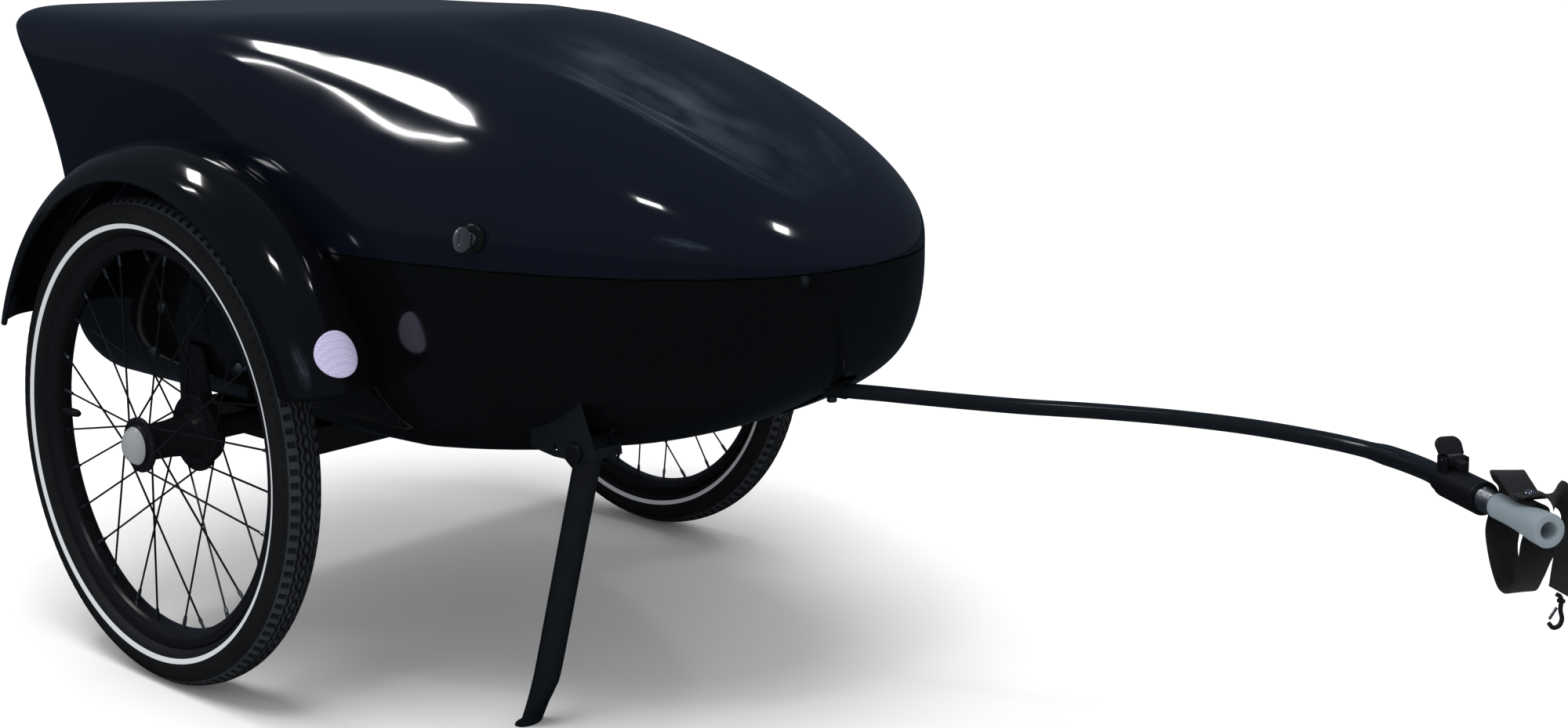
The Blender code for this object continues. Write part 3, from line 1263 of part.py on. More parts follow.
def build_socket(hitch, latch):
    """The socket at the bar's end, with two ears and a slot for the latch over its front bore."""
    start, end = SOCKET_START, SOCKET_START + SOCKET_LENGTH
    rear_bore, front_bore = BAR_END_RADIUS + SEAT, SPIGOT_RADIUS + SEAT
    wall = start + 0.0200
    profile = [(front_bore, end), (SOCKET_RADIUS - 0.001, end), (SOCKET_RADIUS, end - 0.001),
               (SOCKET_RADIUS, start + 0.008), (SOCKET_RADIUS - 0.0018, start + 0.005),
               (SOCKET_RADIUS - 0.0022, start), (rear_bore, start), (rear_bore, wall), (0.0040, wall),
               (0.0040, wall + 0.003), (front_bore, wall + 0.003)]
    socket = turned("hitch_socket", profile, black_metal, hitch, steps=14)
    ear_in = TAB_WIDTH / 2 - 0.0045
    for number, sign in enumerate((-1, 1), 1):
        x_from, x_to = sorted((sign * ear_in, sign * (ear_in + 0.003)))
        ear = box_mesh("ear", (x_from, 0.006, LATCH_S - 0.007),
                       (x_to, LATCH_HEIGHT + 0.0036, LATCH_S + 0.006))
        join(socket, new_cutter(f"ear_{number}", ear, hitch))
    slot = box_mesh("latch_slot", (-0.0042, 0.002, LATCH_S + 0.0075), (0.0042, 0.030, LATCH_S + 0.0250))
    boolean(socket, new_cutter("latch_slot", slot, hitch))
    room = rod_mesh("latch_room", (-ear_in, LATCH_HEIGHT, LATCH_S), (ear_in, LATCH_HEIGHT, LATCH_S),
                    0.0075, 12)
    boolean(socket, new_cutter("latch_room", room, hitch))
    hole = rod_mesh("latch_pin_hole", (-0.02, LATCH_HEIGHT, LATCH_S), (0.02, LATCH_HEIGHT, LATCH_S),
                    LATCH_PIN_RADIUS + SEAT, 10)
    boolean(socket, new_cutter("latch_pin_hole", hole, hitch))
    length = ear_in + 0.003 + 0.0012
    pin = rod_mesh("latch_pin", (-length, LATCH_HEIGHT, LATCH_S), (length, LATCH_HEIGHT, LATCH_S),
                   LATCH_PIN_RADIUS, 10)
    new_part("latch_pin", pin, steel, hitch)
    build_lever(latch, ear_in)


def build_lever(latch, ear_in):
    """The thumb lever: a boss on the pin, a nose that drops into the ferrule's groove and a ribbed tab."""
    half = ear_in - RUN
    boss = rod_mesh("latch_lever", (-half, 0, 0), (half, 0, 0), 0.0058, 12)
    lever = new_part("latch_lever", boss, black_plastic, latch)
    nose_low = SPIGOT_RADIUS - 0.0016 - LATCH_HEIGHT
    arm = box_mesh("nose_arm", (-0.0036, -0.004, 0.0), (0.0036, 0.0025, 0.0165))
    join(lever, new_cutter("nose_arm", arm, latch))
    nose = box_mesh("nose", (-0.0032, nose_low, 0.0115), (0.0032, 0.0010, 0.0160))
    join(lever, new_cutter("nose", nose, latch))
    neck, wide, top = half - 0.0005, TAB_WIDTH / 2, 0.0045 + TAB_HEIGHT
    right = [(neck, 0.0030), (neck, 0.0090), (wide, 0.0100), (wide, top - 0.0060),
             (wide - 0.0020, top - 0.0020), (wide - 0.0070, top)]
    outline = right + [(-x, y) for x, y in reversed(right)]
    tab = mesh_of_curve(plate_curve("tab", [outline], 0.0040))
    join(lever, new_cutter("tab", tab, latch, (0, 0, -0.0010), (math.radians(-14), 0, 0)))
    hole = rod_mesh("lever_hole", (-0.02, 0, 0), (0.02, 0, 0), LATCH_PIN_RADIUS + RUN, 10)
    boolean(lever, new_cutter("lever_hole", hole, latch))


def build_coupling(hitch):
    """The ribbed ferrule, with a grooved spigot in the socket and one in the flexible sleeve."""
    low = SOCKET_START + SOCKET_LENGTH + SEAT
    high = low + FERRULE_LENGTH
    spigot_end = SOCKET_START + 0.0245
    groove = (LATCH_S + 0.0105, LATCH_S + 0.0175)
    neck = SLEEVE_BORE - SEAT
    profile = [(0, high + 0.018), (neck, high + 0.017), (neck, high), (FERRULE_RADIUS, high)]
    rib = FERRULE_LENGTH / FERRULE_RIBS
    for number in range(FERRULE_RIBS - 1):
        top = high - number * rib
        profile += [(FERRULE_RADIUS, top - rib * 0.6), (FERRULE_RADIUS - 0.0008, top - rib * 0.8),
                    (FERRULE_RADIUS, top - rib)]
    waist = SPIGOT_RADIUS - 0.0022
    profile += [(FERRULE_RADIUS, low), (SPIGOT_RADIUS, low), (SPIGOT_RADIUS, groove[1]), (waist, groove[1]),
                (waist, groove[0]), (SPIGOT_RADIUS, groove[0]), (SPIGOT_RADIUS, spigot_end), (0, spigot_end)]
    turned("coupling_ferrule", profile, aluminium, hitch, steps=12, closed=False)
    start, end = high + SEAT, HITCH_LENGTH
    length = end - start
    sleeve = [(SLEEVE_BORE, end), (SLEEVE_FLARE - SLEEVE_EDGE, end), (SLEEVE_FLARE, end - SLEEVE_EDGE),
              (SLEEVE_FLARE - 0.0005, end - length * 0.22), (SLEEVE_WAIST + 0.0008, end - length * 0.48),
              (SLEEVE_WAIST, end - length * 0.75), (SLEEVE_WAIST, start), (SLEEVE_BORE, start)]
    turned("coupling_sleeve", sleeve, grey_rubber, hitch)


STRAP_ROUTE = (
    (6, 14.7, 131, 0), (6, 15.0, 119, 0), (6, 24, 105, 0), (9, 25, 93, 15), (15, 16, 86, 55),
    (18.5, 1, 83, 90), (15, -16, 84, 50), (9, -30, 91, 10), (7, -47, 100, 0), (8, -60, 109, 0),
    (9, -60, 119, 0), (10, -47, 126, 0), (13, -30, 128, 15), (17.5, -15, 127, 60), (18.5, -2, 125, 90),
    (15.5, 8, 125, 90), (7, 12.6, 127, 90), (-2, 12.8, 128, 90),
)
TAIL_ROUTE = (
    (6, 16.8, 123, 0), (7, 17.1, 132, 0), (14, 20.5, 142, 15), (22, 17, 148, 55), (25.5, 5, 151, 90),
    (22, -14, 153, 90), (18, -32, 154, 90), (16, -49, 154, 90),
)


def strap_samples(route, per_span):
    """Centres and width directions along a strap, whose route gives millimetres and the width's turn."""
    centres = smooth_path([Vector(point[:3]) * 0.001 for point in route], per_span)
    turns = smooth_path([Vector((point[3], 0, 0)) for point in route], per_span)
    samples = []
    for index, centre in enumerate(centres):
        ahead = centres[min(index + 1, len(centres) - 1)] - centres[max(index - 1, 0)]
        turn = math.radians(turns[index].x)
        across = Vector((math.cos(turn), 0, math.sin(turn)))
        across -= ahead * (across.dot(ahead) / ahead.length_squared)
        samples.append((centre, across.normalized()))
    return samples


def build_strap(name, route, hitch):
    bm = bmesh.new()
    rows = [[bm.verts.new(centre + across * (sign * STRAP_WIDTH / 2)) for sign in (-1, 1)]
            for centre, across in strap_samples(route, 2)]
    for row, following in zip(rows, rows[1:]):
        for a, b, c, d in zip(row, row[1:], following[1:], following):
            bm.faces.new((a, b, c, d))
    strap = new_part(name, finished(bm, name), webbing, hitch)
    add_wall(strap, STRAP_THICKNESS, 0.0)


def build_strap_fittings(hitch, gate):
    top = TAIL_ROUTE[0][1] * 0.001 + STRAP_THICKNESS / 2 + SEAT
    rivet = [(0, top + 0.0030), (0.0030, top + 0.0026), (0.0046, top + 0.0012), (0.0050, top + 0.0003),
             (0, top)]
    turned("strap_rivet", rivet, chrome, hitch, (0.006, 0, 0.1275), (-math.pi / 2, 0, 0), 12, False)
    x, y, z = [value * 0.001 for value in TAIL_ROUTE[-1][:3]]
    y -= 0.0017 + SEAT
    shape = [(0, 0), (0.0026, -0.0016), (0.0040, -0.0050), (0.0036, -0.0120), (0.0052, -0.0190),
             (0.0030, -0.0240), (-0.0020, -0.0250), (-0.0056, -0.0215)]
    route = [Vector((x + a - 0.0020, y + b, z)) for a, b in shape]
    hook = tube_curve("snap_hook", smooth_path(route, 2), 0.0017, 1)
    new_part("snap_hook", hook, black_plastic, hitch)
    tip = Vector((x - 0.0076, y - 0.0195, z))
    rod = rod_mesh("hook_gate", (0, 0, 0), tip + Vector((0, 0.0012, 0)) - gate_place(), 0.0011, 6)
    new_part("hook_gate", rod, chrome, gate)


def gate_place():
    """Where the hook's gate turns, beside the hook's straight stretch."""
    x, y, z = [value * 0.001 for value in TAIL_ROUTE[-1][:3]]
    return Vector((x - 0.0016, y - 0.0120, z))


def main():
    front = HITCH_TIP.x + (SLEEVE_FLARE - SLEEVE_EDGE) * abs(math.sin(HITCH_YAW))
    root = new_pivot("trailer_origin", None, (-(front + REAR_X - TAIL_LENGTH) / 2, 0, 0))
    build_tub(root)
    build_seal(root)
    hinge = new_pivot("lid_hinge", root, (REAR_X - HINGE_OFFSET, 0, SEAM_Z))
    frame = lock_matrix()
    turn = frame.to_euler()
    lock = new_pivot("lock_axis", hinge, frame.translation - hinge.location, turn)
    core = new_pivot("lock_core", lock, (0, 0, 0))
    build_lid(hinge, lock)
    for side, sign in SIDES.items():
        build_hinge(side, sign, root, hinge)
    build_lock(lock, core, root)

    build_axle_frame(root)
    build_spine(root)
    build_clamp_bolt(root)
    build_side_bolts(root)
    build_mudguards(root)
    for side, sign in SIDES.items():
        build_wheel(side, sign, root)
    build_stand(root)

    frame = hitch_matrix()
    hitch = new_pivot("hitch_axis", root, frame.translation, frame.to_euler())
    latch = new_pivot("latch_pivot", hitch, (0, LATCH_HEIGHT, LATCH_S))
    build_tow_bar(root)
    build_socket(hitch, latch)
    build_coupling(hitch)
    build_strap("safety_strap", STRAP_ROUTE, hitch)
    build_strap("strap_tail", TAIL_ROUTE, hitch)
    gate = new_pivot("gate_pivot", hitch, gate_place())
    build_strap_fittings(hitch, gate)


clear_scene()
parts = new_collection("bicycle_trailer")
cutters = new_collection("cutters")
navy_gloss = new_material("navy_gloss_shell", (0.006, 0.009, 0.017), 0.08)
black_gloss = new_material("black_gloss_shell", (0.004, 0.004, 0.005), 0.08)
frame_black = new_material("black_powder_coat", (0.010, 0.010, 0.011), 0.4)
bar_black = new_material("black_bar_paint", (0.008, 0.009, 0.010), 0.2)
charcoal = new_material("charcoal_paint", (0.030, 0.031, 0.035), 0.45)
black_metal = new_material("black_anodised", (0.010, 0.010, 0.012), 0.35, 0.6)
black_plastic = new_material("black_plastic", (0.010, 0.010, 0.011), 0.4)
grey_plastic = new_material("grey_cap_plastic", (0.25, 0.26, 0.27), 0.35, 0.4)
grey_rubber = new_material("grey_coupling_rubber", (0.27, 0.29, 0.32), 0.5)
rubber = new_material("black_rubber", (0.012, 0.012, 0.012), 0.8)
tyre_rubber = new_material("tyre_rubber", (0.012, 0.012, 0.013), 0.7)
webbing = new_material("black_webbing", (0.013, 0.014, 0.016), 0.85)
zinc = new_material("zinc_plate", (0.55, 0.56, 0.57), 0.35, 1.0)
steel = new_material("bright_steel", (0.60, 0.60, 0.60), 0.25, 1.0)
chrome = new_material("chrome", (0.75, 0.75, 0.76), 0.06, 1.0)
dark_metal = new_material("dark_satin_metal", (0.05, 0.05, 0.055), 0.35, 0.9)
aluminium = new_material("ribbed_aluminium", (0.80, 0.81, 0.82), 0.3, 1.0)
smoky_plastic = new_material("smoky_key_plastic", (0.020, 0.021, 0.024), 0.3)
reflective = new_material("white_reflector", (0.75, 0.72, 0.85), 0.25)
main()
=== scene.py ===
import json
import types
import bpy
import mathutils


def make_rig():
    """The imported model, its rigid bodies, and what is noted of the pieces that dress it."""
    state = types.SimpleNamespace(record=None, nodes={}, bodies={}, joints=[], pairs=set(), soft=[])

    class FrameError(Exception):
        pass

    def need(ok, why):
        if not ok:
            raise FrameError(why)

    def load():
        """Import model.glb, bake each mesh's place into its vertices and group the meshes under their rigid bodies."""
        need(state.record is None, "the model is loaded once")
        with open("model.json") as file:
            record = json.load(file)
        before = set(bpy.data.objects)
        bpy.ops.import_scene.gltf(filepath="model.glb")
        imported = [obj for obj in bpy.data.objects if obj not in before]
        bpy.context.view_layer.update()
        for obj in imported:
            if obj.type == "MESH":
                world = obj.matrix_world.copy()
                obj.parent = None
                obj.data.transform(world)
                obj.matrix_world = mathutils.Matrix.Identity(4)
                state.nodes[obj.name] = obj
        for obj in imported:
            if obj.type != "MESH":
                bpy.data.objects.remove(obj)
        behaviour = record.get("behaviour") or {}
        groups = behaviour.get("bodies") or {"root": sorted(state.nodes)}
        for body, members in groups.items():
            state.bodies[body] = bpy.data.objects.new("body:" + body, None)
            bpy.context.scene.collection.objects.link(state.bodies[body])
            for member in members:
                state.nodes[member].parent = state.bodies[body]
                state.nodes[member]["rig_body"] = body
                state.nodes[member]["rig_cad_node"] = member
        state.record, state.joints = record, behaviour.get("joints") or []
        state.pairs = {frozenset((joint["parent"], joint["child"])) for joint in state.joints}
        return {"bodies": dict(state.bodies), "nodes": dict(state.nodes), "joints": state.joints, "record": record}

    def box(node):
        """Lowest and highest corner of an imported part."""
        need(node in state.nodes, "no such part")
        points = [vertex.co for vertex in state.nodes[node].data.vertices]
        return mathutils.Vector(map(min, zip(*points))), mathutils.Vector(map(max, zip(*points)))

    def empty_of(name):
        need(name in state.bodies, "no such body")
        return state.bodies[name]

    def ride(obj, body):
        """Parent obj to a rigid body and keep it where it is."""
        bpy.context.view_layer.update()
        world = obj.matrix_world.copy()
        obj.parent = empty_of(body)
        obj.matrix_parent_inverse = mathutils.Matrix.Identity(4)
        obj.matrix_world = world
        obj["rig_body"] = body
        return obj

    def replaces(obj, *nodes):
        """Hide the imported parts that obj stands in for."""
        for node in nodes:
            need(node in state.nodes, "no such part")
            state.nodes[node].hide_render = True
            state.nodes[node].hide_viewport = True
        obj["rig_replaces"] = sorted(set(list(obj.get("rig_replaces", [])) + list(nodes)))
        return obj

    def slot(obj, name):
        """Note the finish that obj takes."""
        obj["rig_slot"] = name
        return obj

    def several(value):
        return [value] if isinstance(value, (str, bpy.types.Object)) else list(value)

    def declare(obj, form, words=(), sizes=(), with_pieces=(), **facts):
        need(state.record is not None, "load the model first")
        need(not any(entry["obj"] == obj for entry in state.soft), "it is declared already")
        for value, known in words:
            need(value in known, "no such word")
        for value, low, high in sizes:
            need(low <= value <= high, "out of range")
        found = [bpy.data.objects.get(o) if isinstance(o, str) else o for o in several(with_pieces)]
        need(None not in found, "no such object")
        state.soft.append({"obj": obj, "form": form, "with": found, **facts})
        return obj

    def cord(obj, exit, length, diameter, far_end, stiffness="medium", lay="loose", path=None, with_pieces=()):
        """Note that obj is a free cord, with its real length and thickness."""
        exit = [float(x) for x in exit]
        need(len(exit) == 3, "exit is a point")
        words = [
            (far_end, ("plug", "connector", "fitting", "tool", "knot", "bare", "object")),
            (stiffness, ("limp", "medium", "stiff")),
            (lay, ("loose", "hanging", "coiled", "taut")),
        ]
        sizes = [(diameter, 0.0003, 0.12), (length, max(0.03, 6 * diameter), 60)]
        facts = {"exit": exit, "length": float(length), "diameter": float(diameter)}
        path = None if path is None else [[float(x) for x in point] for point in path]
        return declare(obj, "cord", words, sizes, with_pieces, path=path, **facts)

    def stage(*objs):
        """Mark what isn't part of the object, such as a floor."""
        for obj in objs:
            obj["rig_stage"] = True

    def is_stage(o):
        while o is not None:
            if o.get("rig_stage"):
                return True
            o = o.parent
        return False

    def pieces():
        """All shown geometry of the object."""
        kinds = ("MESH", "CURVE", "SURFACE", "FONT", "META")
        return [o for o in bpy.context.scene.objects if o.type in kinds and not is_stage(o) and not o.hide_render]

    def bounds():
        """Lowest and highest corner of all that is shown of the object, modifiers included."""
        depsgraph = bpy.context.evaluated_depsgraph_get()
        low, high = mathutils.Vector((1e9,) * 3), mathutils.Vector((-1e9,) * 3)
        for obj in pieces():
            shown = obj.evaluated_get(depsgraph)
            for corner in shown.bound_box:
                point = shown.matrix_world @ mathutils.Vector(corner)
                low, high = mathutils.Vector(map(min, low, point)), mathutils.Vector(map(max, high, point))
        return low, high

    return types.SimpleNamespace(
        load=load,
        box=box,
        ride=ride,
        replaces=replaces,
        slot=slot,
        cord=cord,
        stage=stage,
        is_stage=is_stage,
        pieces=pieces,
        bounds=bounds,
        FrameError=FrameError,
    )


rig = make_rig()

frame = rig.load()
sizeAtLoad = [list(corner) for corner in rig.bounds()]

import json
import math

import bmesh
import bpy
from mathutils import Matrix, Vector

# Shapes are written in metres from the ground under the axle: X forward, Y left, Z up
rimLow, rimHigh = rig.box("rim_right")
axleX = (rimLow.x + rimHigh.x) / 2
toRow = Matrix.Translation((axleX, 0, 0))
sides = {"right": -1, "left": 1}
chassis = "chassis"


# Colours and materials

def linear(colour):
    parts = [int(colour[start:start + 2], 16) / 255 for start in (1, 3, 5)]
    return (*[part / 12.92 if part <= 0.04045 else ((part + 0.055) / 1.055) ** 2.4 for part in parts], 1)


def addNode(tree, kind, inputs=None, **settings):
    node = tree.nodes.new(kind)
    for name, value in settings.items():
        setattr(node, name, value)
    for name, value in (inputs or {}).items():
        if isinstance(value, bpy.types.NodeSocket):
            tree.links.new(value, node.inputs[name])
        else:
            node.inputs[name].default_value = value
    return node


def newMaterial(name, colour, roughness, metallic=0.0, **extra):
    material = bpy.data.materials.new(name)
    material.use_nodes = True
    shader = material.node_tree.nodes["Principled BSDF"]
    shader.inputs["Base Color"].default_value = linear(colour)
    shader.inputs["Roughness"].default_value = roughness
    shader.inputs["Metallic"].default_value = metallic
    for socket, value in extra.items():
        shader.inputs[socket.replace("_", " ")].default_value = value
    return material, material.node_tree, shader


def objectPlace(tree):
    return addNode(tree, "ShaderNodeTexCoord").outputs["Object"]


def varyRoughness(tree, shader, vector, scale, low, high):
    noise = addNode(tree, "ShaderNodeTexNoise", {"Vector": vector, "Scale": scale, "Detail": 4.0})
    spread = addNode(tree, "ShaderNodeMapRange", {"Value": noise.outputs["Fac"], "From Min": 0.3,
                                                  "From Max": 0.7, "To Min": low, "To Max": high})
    tree.links.new(spread.outputs["Result"], shader.inputs["Roughness"])


def addBump(tree, shader, height, distance, strength=1.0, socket="Normal"):
    bump = addNode(tree, "ShaderNodeBump", {"Height": height, "Distance": distance, "Strength": strength})
    tree.links.new(bump.outputs["Normal"], shader.inputs[socket])


def glossShell(name, colour, coat):
    # Thermoformed sheet with a high gloss: the skin waves a little over some 30 mm
    material, tree, shader = newMaterial(name, colour, 0.09, Coat_Weight=coat, Coat_Roughness=0.03)
    vector = objectPlace(tree)
    wave = addNode(tree, "ShaderNodeTexNoise", {"Vector": vector, "Scale": 32.0, "Detail": 1.0})
    addBump(tree, shader, wave.outputs["Fac"], 0.00004)
    varyRoughness(tree, shader, vector, 14.0, 0.07, 0.12)
    return material


def sprayedPaint(name, colour, roughness, peel):
    # Paint over steel: a fine peel, 1.5 mm in reality and drawn at 3 mm so that it shows
    material, tree, shader = newMaterial(name, colour, roughness)
    vector = objectPlace(tree)
    noise = addNode(tree, "ShaderNodeTexNoise", {"Vector": vector, "Scale": 340.0, "Detail": 2.0})
    addBump(tree, shader, noise.outputs["Fac"], peel)
    varyRoughness(tree, shader, vector, 40.0, roughness * 0.8, roughness * 1.25)
    return material


def mouldedPlastic(name, colour, roughness, grain):
    # Injection moulded with a spark-eroded grain, 0.5 mm in reality and drawn at 1.5 mm
    material, tree, shader = newMaterial(name, colour, roughness)
    vector = objectPlace(tree)
    noise = addNode(tree, "ShaderNodeTexNoise", {"Vector": vector, "Scale": 650.0, "Detail": 3.0})
    addBump(tree, shader, noise.outputs["Fac"], grain)
    varyRoughness(tree, shader, vector, 60.0, roughness * 0.85, roughness * 1.2)
    return material


def platedMetal(name, colour, roughness):
    # Rolled or turned metal: fine lines of some 0.2 mm, drawn at 1 mm
    material, tree, shader = newMaterial(name, colour, roughness, 1.0)
    vector = objectPlace(tree)
    stretched = addNode(tree, "ShaderNodeMapping", {"Vector": vector, "Scale": (1.0, 1.0, 6.0)})
    noise = addNode(tree, "ShaderNodeTexNoise", {"Vector": stretched.outputs["Vector"], "Scale": 180.0})
    addBump(tree, shader, noise.outputs["Fac"], 0.00003)
    varyRoughness(tree, shader, vector, 90.0, roughness * 0.7, roughness * 1.4)
    return material


def vulcanised(name, colour, roughness, dust):
    # Moulded rubber with a little dust in its pores
    material, tree, shader = newMaterial(name, colour, roughness)
    vector = objectPlace(tree)
    noise = addNode(tree, "ShaderNodeTexNoise", {"Vector": vector, "Scale": 26.0, "Detail": 6.0})
    ramp = addNode(tree, "ShaderNodeMix", {"Factor": noise.outputs["Fac"], 6: linear(colour),
                                           7: linear(dust)}, data_type="RGBA")
    tree.links.new(ramp.outputs[2], shader.inputs["Base Color"])
    pores = addNode(tree, "ShaderNodeTexNoise", {"Vector": vector, "Scale": 420.0, "Detail": 2.0})
    addBump(tree, shader, pores.outputs["Fac"], 0.00012)
    return material


def wovenWebbing(name):
    # Polyamide webbing: ribs across it every 1.1 mm and the weave's rows along it, from the strap's own UV
    material, tree, shader = newMaterial(name, "#101216", 0.8, Sheen_Weight=0.08)
    place = addNode(tree, "ShaderNodeUVMap", uv_map="strapPlace").outputs["UV"]
    ribs = addNode(tree, "ShaderNodeTexWave", {"Vector": place, "Scale": 290.0, "Distortion": 0.3},
                   bands_direction="X")
    rows = addNode(tree, "ShaderNodeTexWave", {"Vector": place, "Scale": 130.0}, bands_direction="Y")
    both = addNode(tree, "ShaderNodeMath", {0: ribs.outputs["Fac"], 1: rows.outputs["Fac"]},
                   operation="ADD")
    shade = addNode(tree, "ShaderNodeMix", {"Factor": ribs.outputs["Fac"], 6: linear("#08090c"),
                                            7: linear("#181b20")}, data_type="RGBA")
    tree.links.new(shade.outputs[2], shader.inputs["Base Color"])
    addBump(tree, shader, both.outputs["Value"], 0.0002)
    return material


def prismLens(name):
    # Moulded reflector: hexagonal prism cells, 2 mm across and drawn at 3 mm
    material, tree, shader = newMaterial(name, "#e9e4f4", 0.12, Coat_Weight=0.8, Coat_Roughness=0.05)
    vector = objectPlace(tree)
    cells = addNode(tree, "ShaderNodeTexVoronoi", {"Vector": vector, "Scale": 330.0, "Randomness": 0.12},
                    feature="DISTANCE_TO_EDGE")
    shade = addNode(tree, "ShaderNodeMix", {"Factor": cells.outputs["Distance"], 6: linear("#b9b0d6"),
                                            7: linear("#f6f3ff")}, data_type="RGBA", clamp_factor=True)
    tree.links.new(shade.outputs[2], shader.inputs["Base Color"])
    addBump(tree, shader, cells.outputs["Distance"], 0.0004)
    return material


navyShell = glossShell("navyThermoformedShell", "#0a0f19", 0.5)
blackShell = glossShell("blackThermoformedShell", "#060708", 0.5)
framePaint = sprayedPaint("blackPowderCoat", "#101317", 0.42, 0.00010)
barPaint = sprayedPaint("glossBlackBarPaint", "#10151a", 0.20, 0.00004)
standPaint = sprayedPaint("charcoalStandPaint", "#11161b", 0.38, 0.00006)
blackSteel = sprayedPaint("blackenedSteel", "#0c0e12", 0.36, 0.00004)
zincPlate = platedMetal("zincPlatedSteel", "#c3c5c8", 0.34)
turnedSteel = platedMetal("turnedSteel", "#c8c8ca", 0.22)
chromePlate = platedMetal("chromePlate", "#dfe1e4", 0.07)
blackAlloy = sprayedPaint("blackAnodisedAlloy", "#121316", 0.30, 0.00002)
brightAlloy = platedMetal("turnedAlloy", "#e4e6ea", 0.26)
tyreRubber = vulcanised("tyreRubber", "#0c0e11", 0.70, "#15181c")
# Lighter rubber for the raised tread blocks, a painted highlight where light catches them; only its noise blotches are
# dust
paintedLitTreadRubber = vulcanised("treadRubberPaintedHighlight", "#1c2126", 0.62, "#30373f")
blackRubber = vulcanised("blackRubber", "#111111", 0.78, "#191919")
greyRubber = mouldedPlastic("greyCouplingPolymer", "#7e8a92", 0.42, 0.00004)
webbing = wovenWebbing("wovenPolyamideWebbing")
blackPlastic = mouldedPlastic("blackMouldedPlastic", "#15161a", 0.38, 0.00005)
greyPlastic = mouldedPlastic("greyCapPlastic", "#8d9094", 0.34, 0.00003)
keyPlastic = mouldedPlastic("smokyKeyPlastic", "#3d4047", 0.22, 0.00002)
reflectorLens = prismLens("whiteReflectorLens")
stripeFilm, stripeTree, stripeShader = newMaterial("reflectiveTyreStripe", "#cdd0d5", 0.42)
varyRoughness(stripeTree, stripeShader, objectPlace(stripeTree), 200.0, 0.34, 0.5)

slotMaterials = {
    "navy_shell": navyShell, "black_shell": blackShell, "frame_paint": framePaint, "bar_paint": barPaint,
    "stand_paint": standPaint, "black_steel": blackSteel, "zinc": zincPlate, "steel": turnedSteel,
    "chrome": chromePlate, "black_alloy": blackAlloy, "bright_alloy": brightAlloy, "tyre": tyreRubber,
    "rubber": blackRubber, "grey_rubber": greyRubber, "webbing": webbing, "black_plastic": blackPlastic,
    "grey_plastic": greyPlastic, "key_plastic": keyPlastic, "reflector": reflectorLens,
}
for row in frame["record"]["subparts"]:
    nodeMesh = frame["nodes"][row["node"]].data
    nodeMesh.materials.clear()
    nodeMesh.materials.append(slotMaterials[row["material_slot"]])
print("materials made")


# Shape helpers

def newOnes(bm, before):
    return [vert for vert in bm.verts if vert not in before]


def addObject(name, data):
    added = bpy.data.objects.new(name, data)
    bpy.context.scene.collection.objects.link(added)
    return added


def alongY(sign):
    # Turns Z to point along Y, or with -1 against it
    return Matrix.Rotation(-sign * math.pi / 2, 4, "X")


def newPiece(name, bm, slotName, body, replaced=(), sharp=38, materials=None):
    bmesh.ops.remove_doubles(bm, verts=bm.verts, dist=0.000004)
    bmesh.ops.recalc_face_normals(bm, faces=bm.faces)
    return placePiece(name, bm, slotName, body, replaced, sharp, materials)


def placePiece(name, bm, slotName, body, replaced=(), sharp=38, materials=None):
    mesh = bpy.data.meshes.new(name)
    bmesh.ops.transform(bm, matrix=toRow, verts=bm.verts)
    bm.to_mesh(mesh)
    bm.free()
    mesh.shade_smooth()
    mesh.set_sharp_from_angle(angle=math.radians(sharp))
    for material in materials or [slotMaterials[slotName]]:
        mesh.materials.append(material)
    piece = addObject(name, mesh)
    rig.ride(piece, body)
    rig.slot(piece, slotName)
    if replaced:
        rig.replaces(piece, *replaced)
    return piece


def rounded(profile, radius, closed=True):
    points = []
    for index, corner in enumerate(profile):
        if not closed and index in (0, len(profile) - 1):
            points.append(corner)
            continue
        here = Vector(corner)
        before, after = Vector(profile[index - 1]), Vector(profile[(index + 1) % len(profile)])
        reach = [min(radius, (other - here).length * 0.45) for other in (before, after)]
        start = here + (before - here).normalized() * reach[0]
        end = here + (after - here).normalized() * reach[1]
        for share in (0, 0.25, 0.5, 0.75, 1):
            points.append(tuple(start * (1 - share) ** 2 + here * 2 * share * (1 - share) + end * share ** 2))
    return points


def spinShape(bm, profile, steps, matrix, closed=True):
    before = set(bm.verts)
    verts = [bm.verts.new((radius, 0, height)) for radius, height in profile]
    pairs = list(zip(verts, verts[1:])) + ([(verts[-1], verts[0])] if closed else [])
    edges = [bm.edges.new(pair) for pair in pairs]
    bmesh.ops.spin(bm, geom=verts + edges, axis=(0, 0, 1), cent=(0, 0, 0), angle=2 * math.pi, steps=steps,
                   use_merge=True)
    made = newOnes(bm, before)
    bmesh.ops.remove_doubles(bm, verts=made, dist=0.000004)
    bmesh.ops.transform(bm, matrix=matrix, verts=newOnes(bm, before))


def rodShape(bm, start, end, radius, steps=24, endRadius=None):
    start, end = Vector(start), Vector(end)
    turn = (end - start).to_track_quat("Z", "Y").to_matrix().to_4x4()
    bmesh.ops.create_cone(bm, cap_ends=True, segments=steps, radius1=radius,
                          radius2=radius if endRadius is None else endRadius, depth=(end - start).length,
                          matrix=Matrix.Translation((start + end) / 2) @ turn)


def boxShape(bm, low, high, matrix, bevel=0.0004):
    before = set(bm.verts)
    middle = [(a + b) / 2 for a, b in zip(low, high)]
    size = [b - a for a, b in zip(low, high)]
    bmesh.ops.create_cube(bm, size=1, matrix=Matrix.Translation(middle) @ Matrix.Diagonal((*size, 1)))
    made = newOnes(bm, before)
    edges = list({edge for vert in made for edge in vert.link_edges})
    bmesh.ops.bevel(bm, geom=edges, offset=bevel, offset_type="OFFSET", segments=3, profile=0.5,
                    affect="EDGES", material=-1)
    bmesh.ops.transform(bm, matrix=matrix, verts=newOnes(bm, before))


